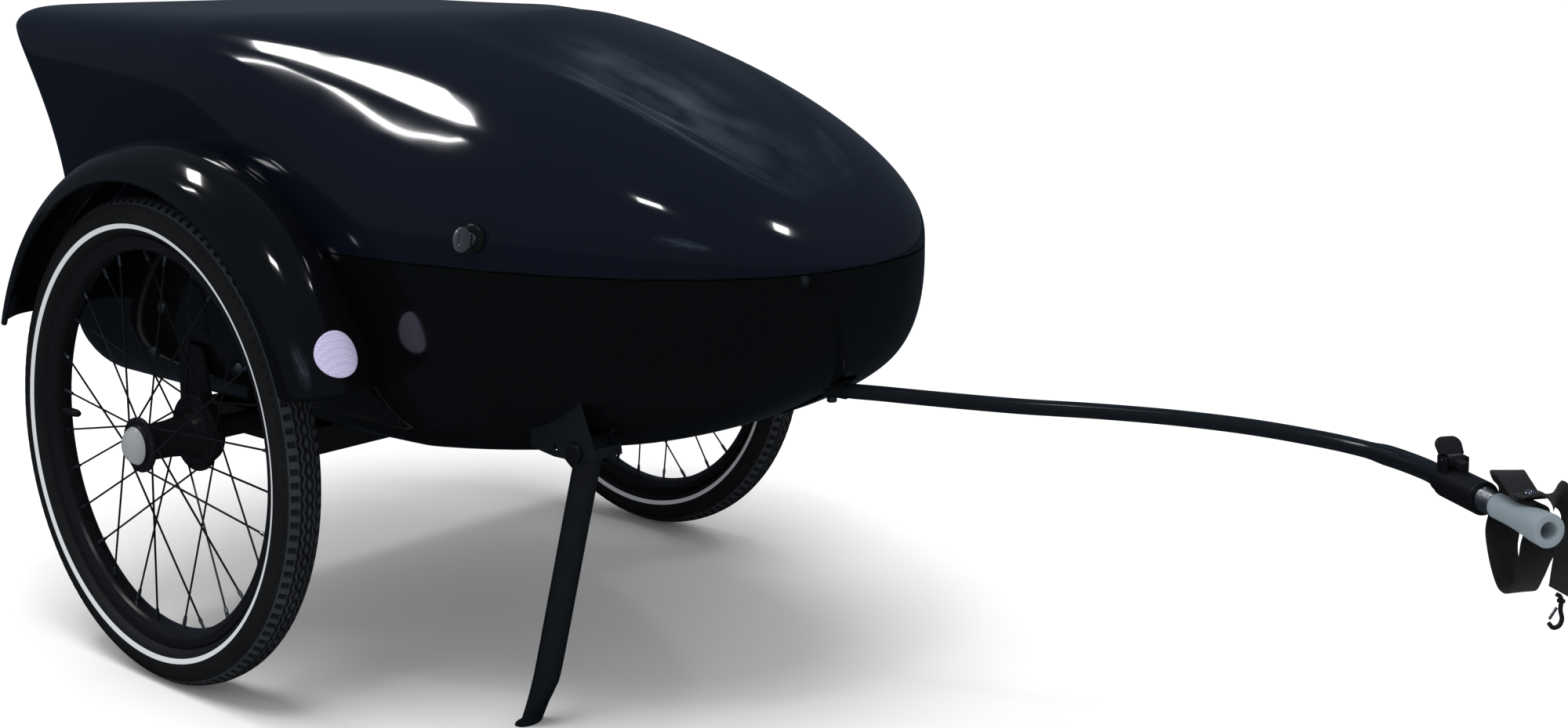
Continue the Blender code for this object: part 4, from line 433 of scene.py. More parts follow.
def gridShape(bm, rows, columns, place):
    before = set(bm.verts)
    bmesh.ops.create_grid(bm, x_segments=columns - 1, y_segments=rows - 1, size=1)
    for vert in newOnes(bm, before):
        column = round((vert.co.x + 1) / 2 * (columns - 1))
        row = round((vert.co.y + 1) / 2 * (rows - 1))
        vert.co = place(row, column)
    return newOnes(bm, before)


def smoothPath(route, perSpan):
    ends = [route[0] * 2 - route[1], *route, route[-1] * 2 - route[-2]]
    points = []
    for before, here, there, after in zip(ends, ends[1:], ends[2:], ends[3:]):
        for step in range(perSpan):
            t = step / perSpan
            bend = (before * 2 - here * 5 + there * 4 - after) * t * t
            twist = (here * 3 - before - there * 3 + after) * t ** 3
            points.append((here * 2 + (there - before) * t + bend + twist) / 2)
    return [*points, route[-1].copy()]


def tubeShape(bm, points, radii, around=24):
    count = len(points)
    aheads = [(points[min(i + 1, count - 1)] - points[max(i - 1, 0)]).normalized() for i in range(count)]
    across = aheads[0].orthogonal().normalized()
    rings = []
    for point, ahead, radius in zip(points, aheads, radii):
        across = (across - ahead * across.dot(ahead)).normalized()
        over = ahead.cross(across)
        rings.append([point + (across * math.cos(2 * math.pi * i / around)
                               + over * math.sin(2 * math.pi * i / around)) * radius
                      for i in range(around)])
    before = set(bm.verts)
    gridShape(bm, count, around + 1, lambda row, column: rings[row][column % around])
    made = newOnes(bm, before)
    bmesh.ops.remove_doubles(bm, verts=made, dist=0.000002)
    made = newOnes(bm, before)
    openEdges = list({edge for vert in made for edge in vert.link_edges if edge.is_boundary})
    bmesh.ops.holes_fill(bm, edges=openEdges, sides=around)


def plateShape(bm, lines, thickness, edge, matrix):
    # A flat plate from its outline and holes, its edges rounded over
    curve = bpy.data.curves.new("plateOutline", "CURVE")
    curve.dimensions = "2D"
    curve.fill_mode = "BOTH"
    curve.extrude = thickness / 2 - edge
    curve.bevel_depth = edge
    curve.bevel_resolution = 3
    curve.offset = -edge
    for line in lines:
        spline = curve.splines.new("POLY")
        spline.points.add(len(line) - 1)
        for point, (x, y) in zip(spline.points, line):
            point.co = (x, y, 0, 1)
        spline.use_cyclic_u = True
    holder = addObject("plateOutline", curve)
    bpy.context.view_layer.update()
    flat = bpy.data.meshes.new_from_object(holder.evaluated_get(bpy.context.evaluated_depsgraph_get()))
    bpy.data.objects.remove(holder)
    before = set(bm.verts)
    bm.from_mesh(flat)
    bmesh.ops.remove_doubles(bm, verts=newOnes(bm, before), dist=0.000005)
    bmesh.ops.transform(bm, matrix=matrix, verts=newOnes(bm, before))


def arcLine(radius, count, centre=(0, 0), start=0.0, end=360.0):
    # Points on an arc; a full circle leaves its last point out
    share = count if end - start >= 360 else count - 1
    turns = [math.radians(start + (end - start) * i / share) for i in range(count)]
    return [(centre[0] + radius * math.cos(turn), centre[1] + radius * math.sin(turn)) for turn in turns]


def step01(value):
    value = min(max(value, 0.0), 1.0)
    return value * value * (3 - 2 * value)


# Camera, matched to both wheels, the seam and the ground points in the photograph
cameraValues = {"place": (1.710, -1.3455, 0.754), "ahead": (-0.622, 0.774, -0.118), "lens": 43.02,
                "shift": (-0.049, -0.12825), "roll": 0.0024}


def setCamera():
    ahead = Vector(cameraValues["ahead"]).normalized()
    right = ahead.cross(Vector((0, 0, 1))).normalized()
    turn = Matrix((right, right.cross(ahead), -ahead)).transposed().to_4x4()
    turn = turn @ Matrix.Rotation(cameraValues["roll"], 4, "Z")
    camera = addObject("camera", bpy.data.cameras.new("camera"))
    camera.matrix_world = toRow @ Matrix.Translation(cameraValues["place"]) @ turn
    camera.data.lens = cameraValues["lens"]
    camera.data.shift_x, camera.data.shift_y = cameraValues["shift"]
    bpy.context.scene.camera = camera


setCamera()


# Coupling frame: X left, Y up and Z forward along the coupling
hitchValues = {"tip": (1.276, -0.010, 0.331), "yaw": -36.4, "length": 0.1616}


def hitchFrame():
    yaw = math.radians(hitchValues["yaw"])
    ahead = Vector((math.cos(yaw), math.sin(yaw), 0))
    up = Vector((0, 0, 1))
    matrix = Matrix((up.cross(ahead), up, ahead)).transposed().to_4x4()
    matrix.translation = Vector(hitchValues["tip"]) - ahead * hitchValues["length"]
    return matrix


hitch = hitchFrame()

# Safety strap: millimetres in the coupling's frame and the turn of its width, from X towards Z
strapValues = {
    "width": 0.025, "thickness": 0.0015, "perSpan": 8,
    "route": (
        (6, 14.7, 131, 0), (6, 15.8, 121, 0), (6, 21, 112, 0), (6.5, 25.4, 103, 3), (9, 25.6, 94, 14),
        (13, 20.5, 88.5, 38), (16, 12, 85.5, 62),
        (18.5, 1, 83, 90), (15, -16, 84, 50), (9, -30, 91, 10), (7, -47, 100, 0), (8, -60, 109, 0),
        (9, -60, 119, 0), (10, -47, 126, 0), (13, -30, 128, 15), (17.5, -15, 127, 60), (18.5, -2, 125, 90),
        (15.5, 8, 125, 90), (7, 12.6, 127, 90), (-2, 12.8, 128, 90)),
    "tail": (
        (6, 16.8, 123, 0), (7, 17.1, 132, 0), (14, 20.5, 142, 15), (22, 17, 148, 55), (25.5, 5, 151, 90),
        (22, -14, 153, 90), (18, -32, 154, 90), (16, -49, 154, 90)),
    # Half a section in shares of the half width and half thickness; its corners are drawn in a little
    "section": ((-1, 0.4), (-0.96, 0.9), (-0.88, 1), (-0.45, 0.94), (0, 0.92), (0.45, 0.94), (0.88, 1),
                (0.96, 0.9), (1, 0.4)),
}
fittingValues = {
    # Rivet: radius and height of its spun head, from the strap up
    "rivetPlace": (0.006, 0, 0.1275), "rivetLift": 0.0002,
    "rivetHead": ((0, 0.0031), (0.0016, 0.0030), (0.0031, 0.0026), (0.0045, 0.0014), (0.0050, 0.0004),
                  (0.0049, 0), (0, 0)),
    # Snap hook: a rod bent along these points from the tail's end, a swivel collar and a wire gate
    "hookDrop": 0.0020, "hookBack": 0.0020, "hookRadius": 0.0017,
    "hookLine": ((0, 0), (0.0026, -0.0016), (0.0040, -0.0050), (0.0036, -0.0120), (0.0052, -0.0190),
                 (0.0030, -0.0240), (-0.0020, -0.0250), (-0.0056, -0.0215)),
    "collarLine": ((0.0020, 0.0012), (0.0030, 0.0010), (0.0030, -0.0010), (0.0020, -0.0012)),
    "gateRadius": 0.0011,
}


def strapSamples(route):
    centres = smoothPath([Vector(point[:3]) * 0.001 for point in route], strapValues["perSpan"])
    turns = smoothPath([Vector((point[3], 0, 0)) for point in route], strapValues["perSpan"])
    samples = []
    for index, centre in enumerate(centres):
        ahead = centres[min(index + 1, len(centres) - 1)] - centres[max(index - 1, 0)]
        turn = math.radians(turns[index].x)
        across = Vector((math.cos(turn), 0, math.sin(turn)))
        across = (across - ahead * (across.dot(ahead) / ahead.length_squared)).normalized()
        samples.append((centre, across, ahead.normalized()))
    return samples


def spotKey(spot):
    return tuple(round(value, 6) for value in spot)


def makeStrap(name, node, route):
    # A flat band with soft edges
    samples = strapSamples(route)
    half, thick = strapValues["width"] / 2, strapValues["thickness"] / 2
    shape = strapValues["section"]
    section = [*shape, *[(across, -over) for across, over in reversed(shape)]]
    around = len(section)
    bm = bmesh.new()

    def place(row, column):
        centre, across, ahead = samples[row]
        over = ahead.cross(across)
        wide, high = section[column % around]
        return hitch @ (centre + across * (wide * half) + over * (high * thick))

    gridShape(bm, len(samples), around + 1, place)
    travelled = [0.0]
    for (before, _, _), (after, _, _) in zip(samples, samples[1:]):
        travelled.append(travelled[-1] + (after - before).length)
    uv = bm.loops.layers.uv.new("strapPlace")
    found = {}
    for row, distance in enumerate(travelled):
        for column in range(around):
            found[spotKey(place(row, column))] = (distance, section[column][0] * half)
    for face in bm.faces:
        for loop in face.loops:
            loop[uv].uv = found[spotKey(loop.vert.co)]
    bmesh.ops.remove_doubles(bm, verts=bm.verts, dist=0.000002)
    bmesh.ops.holes_fill(bm, edges=[edge for edge in bm.edges if edge.is_boundary], sides=around)
    path = [toRow @ hitch @ centre for centre, _, _ in samples]
    return newPiece(name, bm, "webbing", chassis, (node,)), path, travelled[-1]


def makeStrapFittings():
    top = strapValues["tail"][0][1] * 0.001 + strapValues["thickness"] / 2 + fittingValues["rivetLift"]
    bm = bmesh.new()
    head = [(radius, top + height) for radius, height in fittingValues["rivetHead"]]
    spinShape(bm, rounded(head, 0.0004, False), 32,
              hitch @ Matrix.Translation(fittingValues["rivetPlace"]) @ alongY(1), False)
    rivet = newPiece("strapRivet", bm, "chrome", chassis, ("strap_rivet",))

    x, y, z = [value * 0.001 for value in strapValues["tail"][-1][:3]]
    y -= fittingValues["hookDrop"]
    route = [Vector((x + across - fittingValues["hookBack"], y + up, z))
             for across, up in fittingValues["hookLine"]]
    points = [hitch @ point for point in smoothPath(route, 8)]
    bm = bmesh.new()
    tubeShape(bm, points, [fittingValues["hookRadius"]] * len(points), 16)
    spinShape(bm, rounded(fittingValues["collarLine"], 0.0003), 24,
              hitch @ Matrix.Translation((x + 0.0018, y - 0.0052, z)) @ alongY(-1))
    hook = newPiece("snapHook", bm, "black_plastic", chassis, ("snap_hook",))
    start, end = Vector((x - 0.0016, y - 0.0100, z)), Vector((x - 0.0076, y - 0.0183, z))
    bm = bmesh.new()
    rodShape(bm, hitch @ start, hitch @ end, fittingValues["gateRadius"], 12)
    gate = newPiece("hookGate", bm, "steel", "gate", ("hook_gate",))
    return rivet, hook, gate


def makeStraps():
    loop, loopPath, loopLength = makeStrap("safetyStrap", "safety_strap", strapValues["route"])
    tail, _, tailLength = makeStrap("strapTail", "strap_tail", strapValues["tail"])
    rivet, hook, gate = makeStrapFittings()
    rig.cord(loop, exit=loopPath[0], length=loopLength, diameter=strapValues["width"], far_end="object",
            stiffness="medium", lay="loose", path=loopPath, with_pieces=[rivet, tail, hook, gate])
    print("strap lengths", round(loopLength, 4), round(tailLength, 4))


makeStraps()


# Body shell, the outlines shared by tub and lid
shellValues = {"halfWidth": 0.287, "rear": -0.286, "straightEnd": 0.083, "noseLength": 0.562, "power": 2.36,
               "corner": 0.018, "seam": 0.4555, "gap": 0.0020, "lip": 0.012, "alongSteps": 46,
               "noseSteps": 84, "sideSteps": 28, "overSteps": 26}
tubValues = {"depth": 0.197, "wall": 0.004, "rearRadius": 0.050, "riseStart": 0.360, "rise": 1.289,
             "roundStart": 0.600, "roundPower": 2.5, "channel": 0.016, "draft": 0.002, "channelGap": 0.013,
             "spineHeights": (0.2442, 0.331), "spineBend": 0.300, "spineBendLength": 0.230,
             "powers": ((6.5, 0.28), (3.2, 0.40), 2.6)}
lidValues = {"height": 0.2264, "wall": 0.0035, "fallStart": 0.2219, "fallPower": 1.2, "fallRoot": 1.385,
             "slope": 0.0207, "rearLift": 0.0062, "rearRadius": 0.010, "tail": 0.1149, "tailHeight": 0.200,
             "tailReach": 0.250, "tailPowers": (1.5, 1.6),
             "creaseStart": 0.200, "creaseLength": 0.420, "creaseHalf": 0.145,
             "creaseDepth": 0.003, "creaseRamp": 0.030, "creaseFades": (0.16, 0.10), "creaseSteps": (6, 8),
             "crownRise": 0.4, "easeFrom": -0.040, "easeTo": 0.280, "flow": 0.075, "flowSteps": 6,
             "flowZone": (-0.080, 0.020, 0.300, 0.400), "powers": (14.0, 2.052, 3.035)}
noseX = shellValues["straightEnd"] + shellValues["noseLength"]


def cornerInset(distance, radius):
    if distance >= radius:
        return 0.0
    return radius - math.sqrt(radius ** 2 - (radius - max(distance, 0.0)) ** 2)


def share01(value, low, high):
    return min(max((value - low) / (high - low), 0.0), 1.0)


def planHalfWidth(x):
    reach = share01(x, shellValues["straightEnd"], noseX)
    power = shellValues["power"]
    width = shellValues["halfWidth"] * (1 - reach ** power) ** (1 / power)
    return width - cornerInset(x - shellValues["rear"], shellValues["corner"])


def shellStations():
    rear, corner = shellValues["rear"], shellValues["corner"]
    turns = [rear + corner * (1 - math.cos(math.pi / 2 * step / 10)) for step in range(10)]
    start, count = rear + corner, shellValues["alongSteps"]
    straight = [start + (shellValues["straightEnd"] - start) * step / count for step in range(count)]
    count = shellValues["noseSteps"]
    nose = [shellValues["straightEnd"] + shellValues["noseLength"] * math.sin(math.pi / 2 * step / count)
            for step in range(count + 1)]
    return turns + straight + nose


def spineHeight(x):
    low, high = tubValues["spineHeights"]
    return low + (high - low) * step01((x - tubValues["spineBend"]) / tubValues["spineBendLength"])


def tubDepth(x):
    rise = tubValues["rise"] * max(0.0, x - tubValues["riseStart"]) ** 2
    turn, power = share01(x, tubValues["roundStart"], noseX), tubValues["roundPower"]
    depth = (tubValues["depth"] - rise) * (1 - turn ** power) ** (1 / power)
    return depth - cornerInset(x - shellValues["rear"], tubValues["rearRadius"])


def tubPower(x):
    # From boxy over the axle to rounder at the bow
    (boxy, boxyEnd), (roundest, roundFrom), nose = tubValues["powers"]
    if x < roundFrom:
        return boxy - (boxy - roundest) * share01(x, boxyEnd, roundFrom)
    return roundest - (roundest - nose) * share01(x, roundFrom, noseX)


def tubSection(x):
    width, depth, power = planHalfWidth(x), tubDepth(x), tubPower(x)
    diagonal = 0.5 ** (1 / power)
    top = shellValues["seam"] - shellValues["gap"] / 2
    points = []
    for step in range(shellValues["sideSteps"] + 1):
        drop = diagonal * math.sin(math.pi / 2 * step / shellValues["sideSteps"])
        points.append((width * (1 - drop ** power) ** (1 / power), top - depth * drop))
    half = min(tubValues["channel"], width * 0.3)
    end = half / width if width > 0 else 0.0
    for step in range(1, shellValues["overSteps"]):
        bend = 1 - math.cos(math.pi / 2 * step / shellValues["overSteps"])
        across = diagonal + (end - diagonal) * bend
        points.append((width * across, top - depth * (1 - across ** power) ** (1 / power)))
    keel = top - depth
    overSpine = spineHeight(x) + tubValues["channelGap"]
    roof = max(keel, overSpine) if x >= tubValues["spineBend"] else keel
    inner = min(tubValues["channel"] - tubValues["draft"], half)
    points += [(half, keel), (inner, roof), (0.0, roof)]
    return [Vector((x, y, z)) for y, z in points]


def tailShare(x):
    return min(max(1 - (x - shellValues["rear"]) / lidValues["tailReach"], 0.0), 1.0)


def lidHeight(x):
    fall = share01(x, lidValues["fallStart"], noseX)
    height = lidValues["height"] + lidValues["slope"] * (x - lidValues["fallStart"])
    height += lidValues["rearLift"] * tailShare(x) ** 2
    height *= (1 - fall ** lidValues["fallPower"]) ** (1 / lidValues["fallRoot"])
    return height - cornerInset(x - shellValues["rear"], lidValues["rearRadius"])


def plainPower(x):
    # From boxy at the tail to round at the bonnet and a little fuller at the nose
    start = lidValues["creaseStart"]
    tail, bonnet, nose = lidValues["powers"]
    if x < start:
        return tail - (tail - bonnet) * share01(x, shellValues["rear"], start)
    return bonnet + (nose - bonnet) * share01(x, start, noseX)


def lidPower(x):
    # The shoulder's fall is eased, by the place where each section turns from side to top
    low, high = lidValues["easeFrom"], lidValues["easeTo"]
    if not low < x < high:
        return plainPower(x)
    turns = [0.5 ** (1 / plainPower(place)) for place in (low - 0.001, low, high, high + 0.001)]
    before, after = (turns[1] - turns[0]) / 0.001, (turns[3] - turns[2]) / 0.001
    reach = high - low
    t = (x - low) / reach
    turn = turns[1] * (2 * t ** 3 - 3 * t ** 2 + 1) + turns[2] * (3 * t ** 2 - 2 * t ** 3)
    turn += reach * (before * (t ** 3 - 2 * t ** 2 + t) + after * (t ** 3 - t ** 2))
    return math.log(0.5) / math.log(turn)


def lidSection(x):
    width, height, power = planHalfWidth(x), lidHeight(x), lidPower(x)
    diagonal = 0.5 ** (1 / power)
    points = []
    for step in range(shellValues["sideSteps"] + 1):
        rise = diagonal * math.sin(math.pi / 2 * step / shellValues["sideSteps"])
        points.append((width * (1 - rise ** power) ** (1 / power), height * rise))
    # Three runs over the top: to the crease, down its ramp, and to the middle, which rises a little
    start, end = lidValues["creaseStart"], lidValues["creaseStart"] + lidValues["creaseLength"]
    crease = lidValues["creaseHalf"] * math.sqrt(1 - share01(x, start, end) ** 2)
    crease = min(crease, width * diagonal * 0.8)
    ramp = max(crease - lidValues["creaseRamp"], crease * 0.6)
    fadeIn, fadeOut = lidValues["creaseFades"]
    dip = lidValues["creaseDepth"] * step01((x - start + fadeIn / 2) / fadeIn) * step01((end - x) / fadeOut)
    corner, count = width * diagonal, shellValues["overSteps"]
    acrosses = [(corner + (crease - corner) * (1 - math.cos(math.pi / 2 * step / count)), 0)
                for step in range(1, count)]
    down, over = lidValues["creaseSteps"]
    acrosses += [(crease + (ramp - crease) * step / down, step01(step / down)) for step in range(down + 1)]
    acrosses += [(ramp * (1 - step / over), 1 - lidValues["crownRise"] * step01(step / over))
                 for step in range(1, over + 1)]
    for across, deep in acrosses:
        part = across / width if width > 0 else 0.0
        points.append((across, height * (1 - part ** power) ** (1 / power) - deep * dip))
    near, (along, up) = tailShare(x), lidValues["tailPowers"]
    section = []
    for y, rise in points:
        lean = lidValues["tail"] * near ** along * min(max(rise / lidValues["tailHeight"], 0), 1) ** up
        section.append(Vector((x - lean, y, shellValues["seam"] + shellValues["gap"] / 2 + rise)))
    return section


def flowingSection(x):
    # Away from the middle line each form flows into the next over 75 mm, so gloss shows no kinks
    reach, (rise, full, fall, end) = lidValues["flow"], lidValues["flowZone"]
    reach *= step01((x - rise) / (full - rise)) * step01((end - x) / (end - fall))
    own = lidSection(x)
    if reach < 0.001:
        return own
    steps = lidValues["flowSteps"]
    near = [(steps + 1 - abs(step), lidSection(x + reach * step / steps))
            for step in range(-steps, steps + 1)]
    total = sum(weight for weight, _ in near)
    section = []
    for index, point in enumerate(own):
        mean = sum((line[index] * weight for weight, line in near), Vector((0, 0, 0))) / total
        section.append(point.lerp(mean, step01(abs(point.y) / lidValues["creaseHalf"])))
    return section


def insetLine(line, distance):
    inset = []
    for index, point in enumerate(line):
        if index in (0, len(line) - 1):
            inset.append(point + Vector((distance if index == 0 else -distance, 0, 0)))
            continue
        first = (point - line[index - 1]).normalized()
        second = (line[index + 1] - point).normalized()
        normals = [Vector((d.y, -d.x, 0)) for d in (first, second)]
        middle = (normals[0] + normals[1]).normalized()
        inset.append(point + middle * distance / max(middle.dot(normals[0]), 0.5))
    return inset


def shellShape(sections):
    # Half a skin with its lip along the seam, mirrored, all looking outwards
    rear = [Vector((point.x, 0, point.z)) for point in sections[0]]
    rows = [rear, *sections]
    lips = insetLine([row[0] for row in rows], shellValues["lip"])
    bm = bmesh.new()
    gridShape(bm, len(rows), len(rear) + 1,
              lambda row, column: rows[row][column - 1] if column else lips[row])
    bmesh.ops.remove_doubles(bm, verts=bm.verts, dist=0.00001)
    bmesh.ops.mirror(bm, geom=bm.verts[:] + bm.edges[:] + bm.faces[:], axis="Y", merge_dist=0.00002)
    bmesh.ops.remove_doubles(bm, verts=bm.verts, dist=0.00001)
    bmesh.ops.recalc_face_normals(bm, faces=bm.faces)
    widest = max(bm.faces, key=lambda face: face.calc_center_median().y * (abs(face.normal.y) > 0.9))
    if widest.normal.y < 0:
        bmesh.ops.reverse_faces(bm, faces=bm.faces)
    return bm


def addWall(piece, thickness, edge=0.0, even=True):
    wall = piece.modifiers.new("wall", "SOLIDIFY")
    wall.thickness = thickness
    wall.offset = -1.0
    wall.use_even_offset = even
    if edge:
        soft = piece.modifiers.new("softEdge", "BEVEL")
        soft.width = edge
        soft.segments = 2
        soft.limit_method = "ANGLE"
        soft.angle_limit = math.radians(60)


def makeShells():
    stations = shellStations()
    skin = shellShape([flowingSection(x) for x in stations])
    lid = placePiece("lidShell", skin, "navy_shell", "lid", ("lid",), 50)
    addWall(lid, lidValues["wall"], even=False)
    skin = shellShape([tubSection(x) for x in stations])
    tub = placePiece("tubShell", skin, "black_shell", chassis, ("tub",), 50)
    addWall(tub, tubValues["wall"], even=False)
    print("shells made")


makeShells()


# Mudguards with their reflectors
guardValues = {"start": 17.4, "end": 162.0, "wall": 0.0025, "corner": 0.012, "crest": 0.3035, "steps": 84,
               "profile": ((0.0006, 0.2850), (0.018, 0.2980), (0.038, 0.3035), (0.062, 0.3000),
                           (0.084, 0.2845), (0.090, 0.2660)),
               "perSpan": 6, "reflectorTurn": 24.3, "reflectorY": 0.329, "reflectorRadius": 0.0225,
               "reflectorThick": 0.0015, "reflectorRings": 12, "reflectorAround": 56, "flange": 0.018,
               "axleHeight": 0.250}
guardLine = smoothPath([Vector((out, radius, 0)) for out, radius in guardValues["profile"]],
                       guardValues["perSpan"])


def guardPoint(sign, turn, out, radius):
    x = radius * math.cos(turn)
    near = min(out / guardValues["flange"], 1.0)
    body = planHalfWidth(x) * (1 - near) + shellValues["halfWidth"] * near
    return Vector((x, sign * (body + out), guardValues["axleHeight"] + radius * math.sin(turn)))


def makeGuard(side, sign):
    start, end = math.radians(guardValues["start"]), math.radians(guardValues["end"])
    corner = guardValues["corner"] / guardValues["crest"]
    last = len(guardLine) - 1

    def place(row, column):
        # The corners are rounded off over the outer two fifths of the profile
        bend = max(0.0, (column / last * 5 - 3) / 2)
        cut = corner * (1 - math.sqrt(max(0.0, 1 - bend ** 2)))
        share = row / guardValues["steps"]
        turn = start + cut + (end - start - 2 * cut) * share
        return guardPoint(sign, turn, guardLine[column].x, guardLine[column].y)

    bm = bmesh.new()
    gridShape(bm, guardValues["steps"] + 1, last + 1, place)
    bmesh.ops.recalc_face_normals(bm, faces=bm.faces)
    if max(bm.faces, key=lambda face: face.calc_center_median().z).normal.z < 0:
        bmesh.ops.reverse_faces(bm, faces=bm.faces)
    name = "mudguard" + side.capitalize()
    guard = placePiece(name, bm, "black_shell", chassis, ("mudguard_" + side,), 50)
    addWall(guard, guardValues["wall"], 0.0007)


def makeReflector(side, sign):
    crown = math.radians(guardValues["reflectorTurn"])
    radius, thick = guardValues["reflectorRadius"], guardValues["reflectorThick"]
    count, around = guardValues["reflectorRings"], guardValues["reflectorAround"]
    rings = [(share / count * (radius - 0.0008), thick) for share in range(count + 1)]
    rings += [(radius - 0.0003, thick - 0.0001), (radius, thick - 0.0004), (radius, 0.0), (0.0, 0.0)]

    def place(row, column):
        reach, lift = rings[row]
        turn = 2 * math.pi * (column % around) / around
        along, across = reach * math.cos(turn), reach * math.sin(turn)
        out = guardValues["reflectorY"] - shellValues["halfWidth"] + across
        for low, high in zip(guardLine, guardLine[1:]):
            if low.x <= out <= high.x:
                surface = low.y + (high.y - low.y) * (out - low.x) / (high.x - low.x)
                return guardPoint(sign, crown + along / surface, out, surface + 0.0003 + lift)

    bm = bmesh.new()
    gridShape(bm, len(rings), around + 1, place)
    newPiece("reflector" + side.capitalize(), bm, "reflector", chassis, ("reflector_" + side,), 45)


for side, sign in sides.items():
    makeGuard(side, sign)
    makeReflector(side, sign)
print("mudguards made")


# Wheels, in a frame with Z pointing outwards along the axle
wheelValues = {"radius": 0.250, "halfTrack": 0.345, "tyreSteps": 720, "blockSteps": 6, "spokes": 14,
               "crosses": 2, "spokeRadius": 0.00105, "nippleLength": 0.0115, "nippleRadius": 0.0020,
               "grooveDepth": 0.0016, "slotDepth": 0.0018, "grooves": (0.0028, 0.0078), "grooveHalf": 0.0008,
               "zigzag": 0.0011, "crownRows": 9, "slotsFrom": 0.0112, "treadFrom": (0.2390, 0.2445, 0.2420),
               "stripe": (0.2179, 0.2230), "stripeOut": 0.0198, "spokeReach": 0.1936,
               # Side, height, radius and shift of each flange's spoke holes
               "flanges": ((1, 0.0250, 0.0240, 0.25), (-1, -0.0365, 0.0360, 0.75)),
               "knurls": 24, "knurlFrom": 0.169, "knurlDepth": 0.92,
               "valveTurns": {"right": 180, "left": -82}}
# Radius and height of the points that are spun round the axle, and for the valve round its own
spunLines = {
    "tyre": ((0.2020, 0.0095), (0.2096, 0.0117), (0.2135, 0.0175), (0.2180, 0.0205), (0.2229, 0.0222),
             (0.2285, 0.0225), (0.2345, 0.0213), (0.2405, 0.0188), (0.2462, 0.0136), (0.2490, 0.0072),
             (0.2498, 0.0)),
    "tyreInside": ((0.2020, -0.0065), (0.2110, -0.0125), (0.2260, -0.0185), (0.2440, 0.0), (0.2260, 0.0185),
                   (0.2110, 0.0125), (0.2020, 0.0065)),
    "rim": ((0.2093, 0.0135), (0.2093, 0.0121), (0.1995, 0.0098), (0.1985, 0.0), (0.1995, -0.0098),
            (0.2093, -0.0121), (0.2093, -0.0135), (0.2010, -0.0128), (0.1955, -0.0090), (0.1940, -0.0050),
            (0.1940, 0.0050), (0.1955, 0.0090), (0.2010, 0.0128)),
    "hub": ((0.0145, 0.0300), (0.0205, 0.0300), (0.0205, 0.0272), (0.0280, 0.0270), (0.0280, 0.0230),
            (0.0195, 0.0222), (0.0180, 0.0120), (0.0190, -0.0060), (0.0215, -0.0230), (0.0260, -0.0345),
            (0.0400, -0.0345), (0.0400, -0.0385), (0.0345, -0.0390), (0.0330, -0.0480), (0.0310, -0.0520),
            (0.0145, -0.0520)),
    "cap": ((0, 0.0405), (0.0050, 0.0403), (0.0095, 0.0393), (0.0140, 0.0372), (0.0172, 0.0343),
            (0.0190, 0.0312), (0.0195, 0.0303), (0.0178, 0.0303), (0.0160, 0.0335), (0.0080, 0.0376),
            (0, 0.0385)),
    "valve": ((0.0034, 0.1820), (0.0043, 0.1815), (0.0043, 0.1700), (0.0036, 0.1655), (0.0026, 0.1632),
              (0, 0.1630), (0, 0.1638), (0.0034, 0.1650)),
}


def wheelFrame(sign):
    return Matrix.Translation((0, sign * wheelValues["halfTrack"], wheelValues["radius"])) @ alongY(sign)


def makeTyre(side, sign):
    half = smoothPath([Vector((radius, 0, height)) for radius, height in spunLines["tyre"]], 4)
    crown = wheelValues["crownRows"]
    half = half[:-crown] + smoothPath(half[-crown:], 2)
    outer = [(point.x, point.z) for point in half]
    profile = outer + [(radius, -height) for radius, height in reversed(outer[:-1])]
    profile += spunLines["tyreInside"]
    bm = bmesh.new()
    steps, block = wheelValues["tyreSteps"], wheelValues["blockSteps"]
    treadFrom, crownFrom, paintedHighlightFrom = wheelValues["treadFrom"]
    spinShape(bm, profile, steps, Matrix.Identity(4))
    # Zigzag grooves and shoulder slots are sunk into the tread; what stands between them takes a lighter rubber, a
    # painted highlight where light catches the raised blocks
    sunk = {}
    for vert in bm.verts:
        radius, height = math.hypot(vert.co.x, vert.co.y), vert.co.z
        if radius < treadFrom or abs(height) < 0.0185 and radius < crownFrom:
            continue
        index = round(math.atan2(vert.co.y, vert.co.x) / (2 * math.pi) * steps) % steps
        phase = index % block
        swing = wheelValues["zigzag"] * (abs(phase - block / 2) / (block / 2) * 2 - 1)
        offset = abs(height) - swing
        if any(abs(offset - middle) < wheelValues["grooveHalf"] for middle in wheelValues["grooves"]):
            sunk[vert] = wheelValues["grooveDepth"]
        elif abs(height) > wheelValues["slotsFrom"] and phase in (0, 1):
            sunk[vert] = wheelValues["slotDepth"]
    low, high = wheelValues["stripe"]
    for face in bm.faces:
        centre = face.calc_center_median()
        radius = math.hypot(centre.x, centre.y)
        if low < radius < high and abs(centre.z) > wheelValues["stripeOut"]:
            face.material_index = 1
        # Raised tread faces take the lighter rubber: painted highlight
        elif radius > paintedHighlightFrom and not any(vert in sunk for vert in face.verts):
            face.material_index = 2
    for vert, deep in sunk.items():
        radius = math.hypot(vert.co.x, vert.co.y)
        vert.co.xy *= (radius - deep) / radius
    bmesh.ops.transform(bm, matrix=wheelFrame(sign), verts=bm.verts)
    newPiece("tyre" + side.capitalize(), bm, "tyre", "wheel_" + side, ("tyre_" + side,), 30,
             [tyreRubber, stripeFilm, paintedLitTreadRubber])


def makeRim(side, sign):
    # Double-walled rim with rounded brake tracks
    bm = bmesh.new()
    spinShape(bm, rounded(spunLines["rim"], 0.0008), 144, wheelFrame(sign))
    newPiece("rim" + side.capitalize(), bm, "black_alloy", "wheel_" + side, ("rim_" + side,))


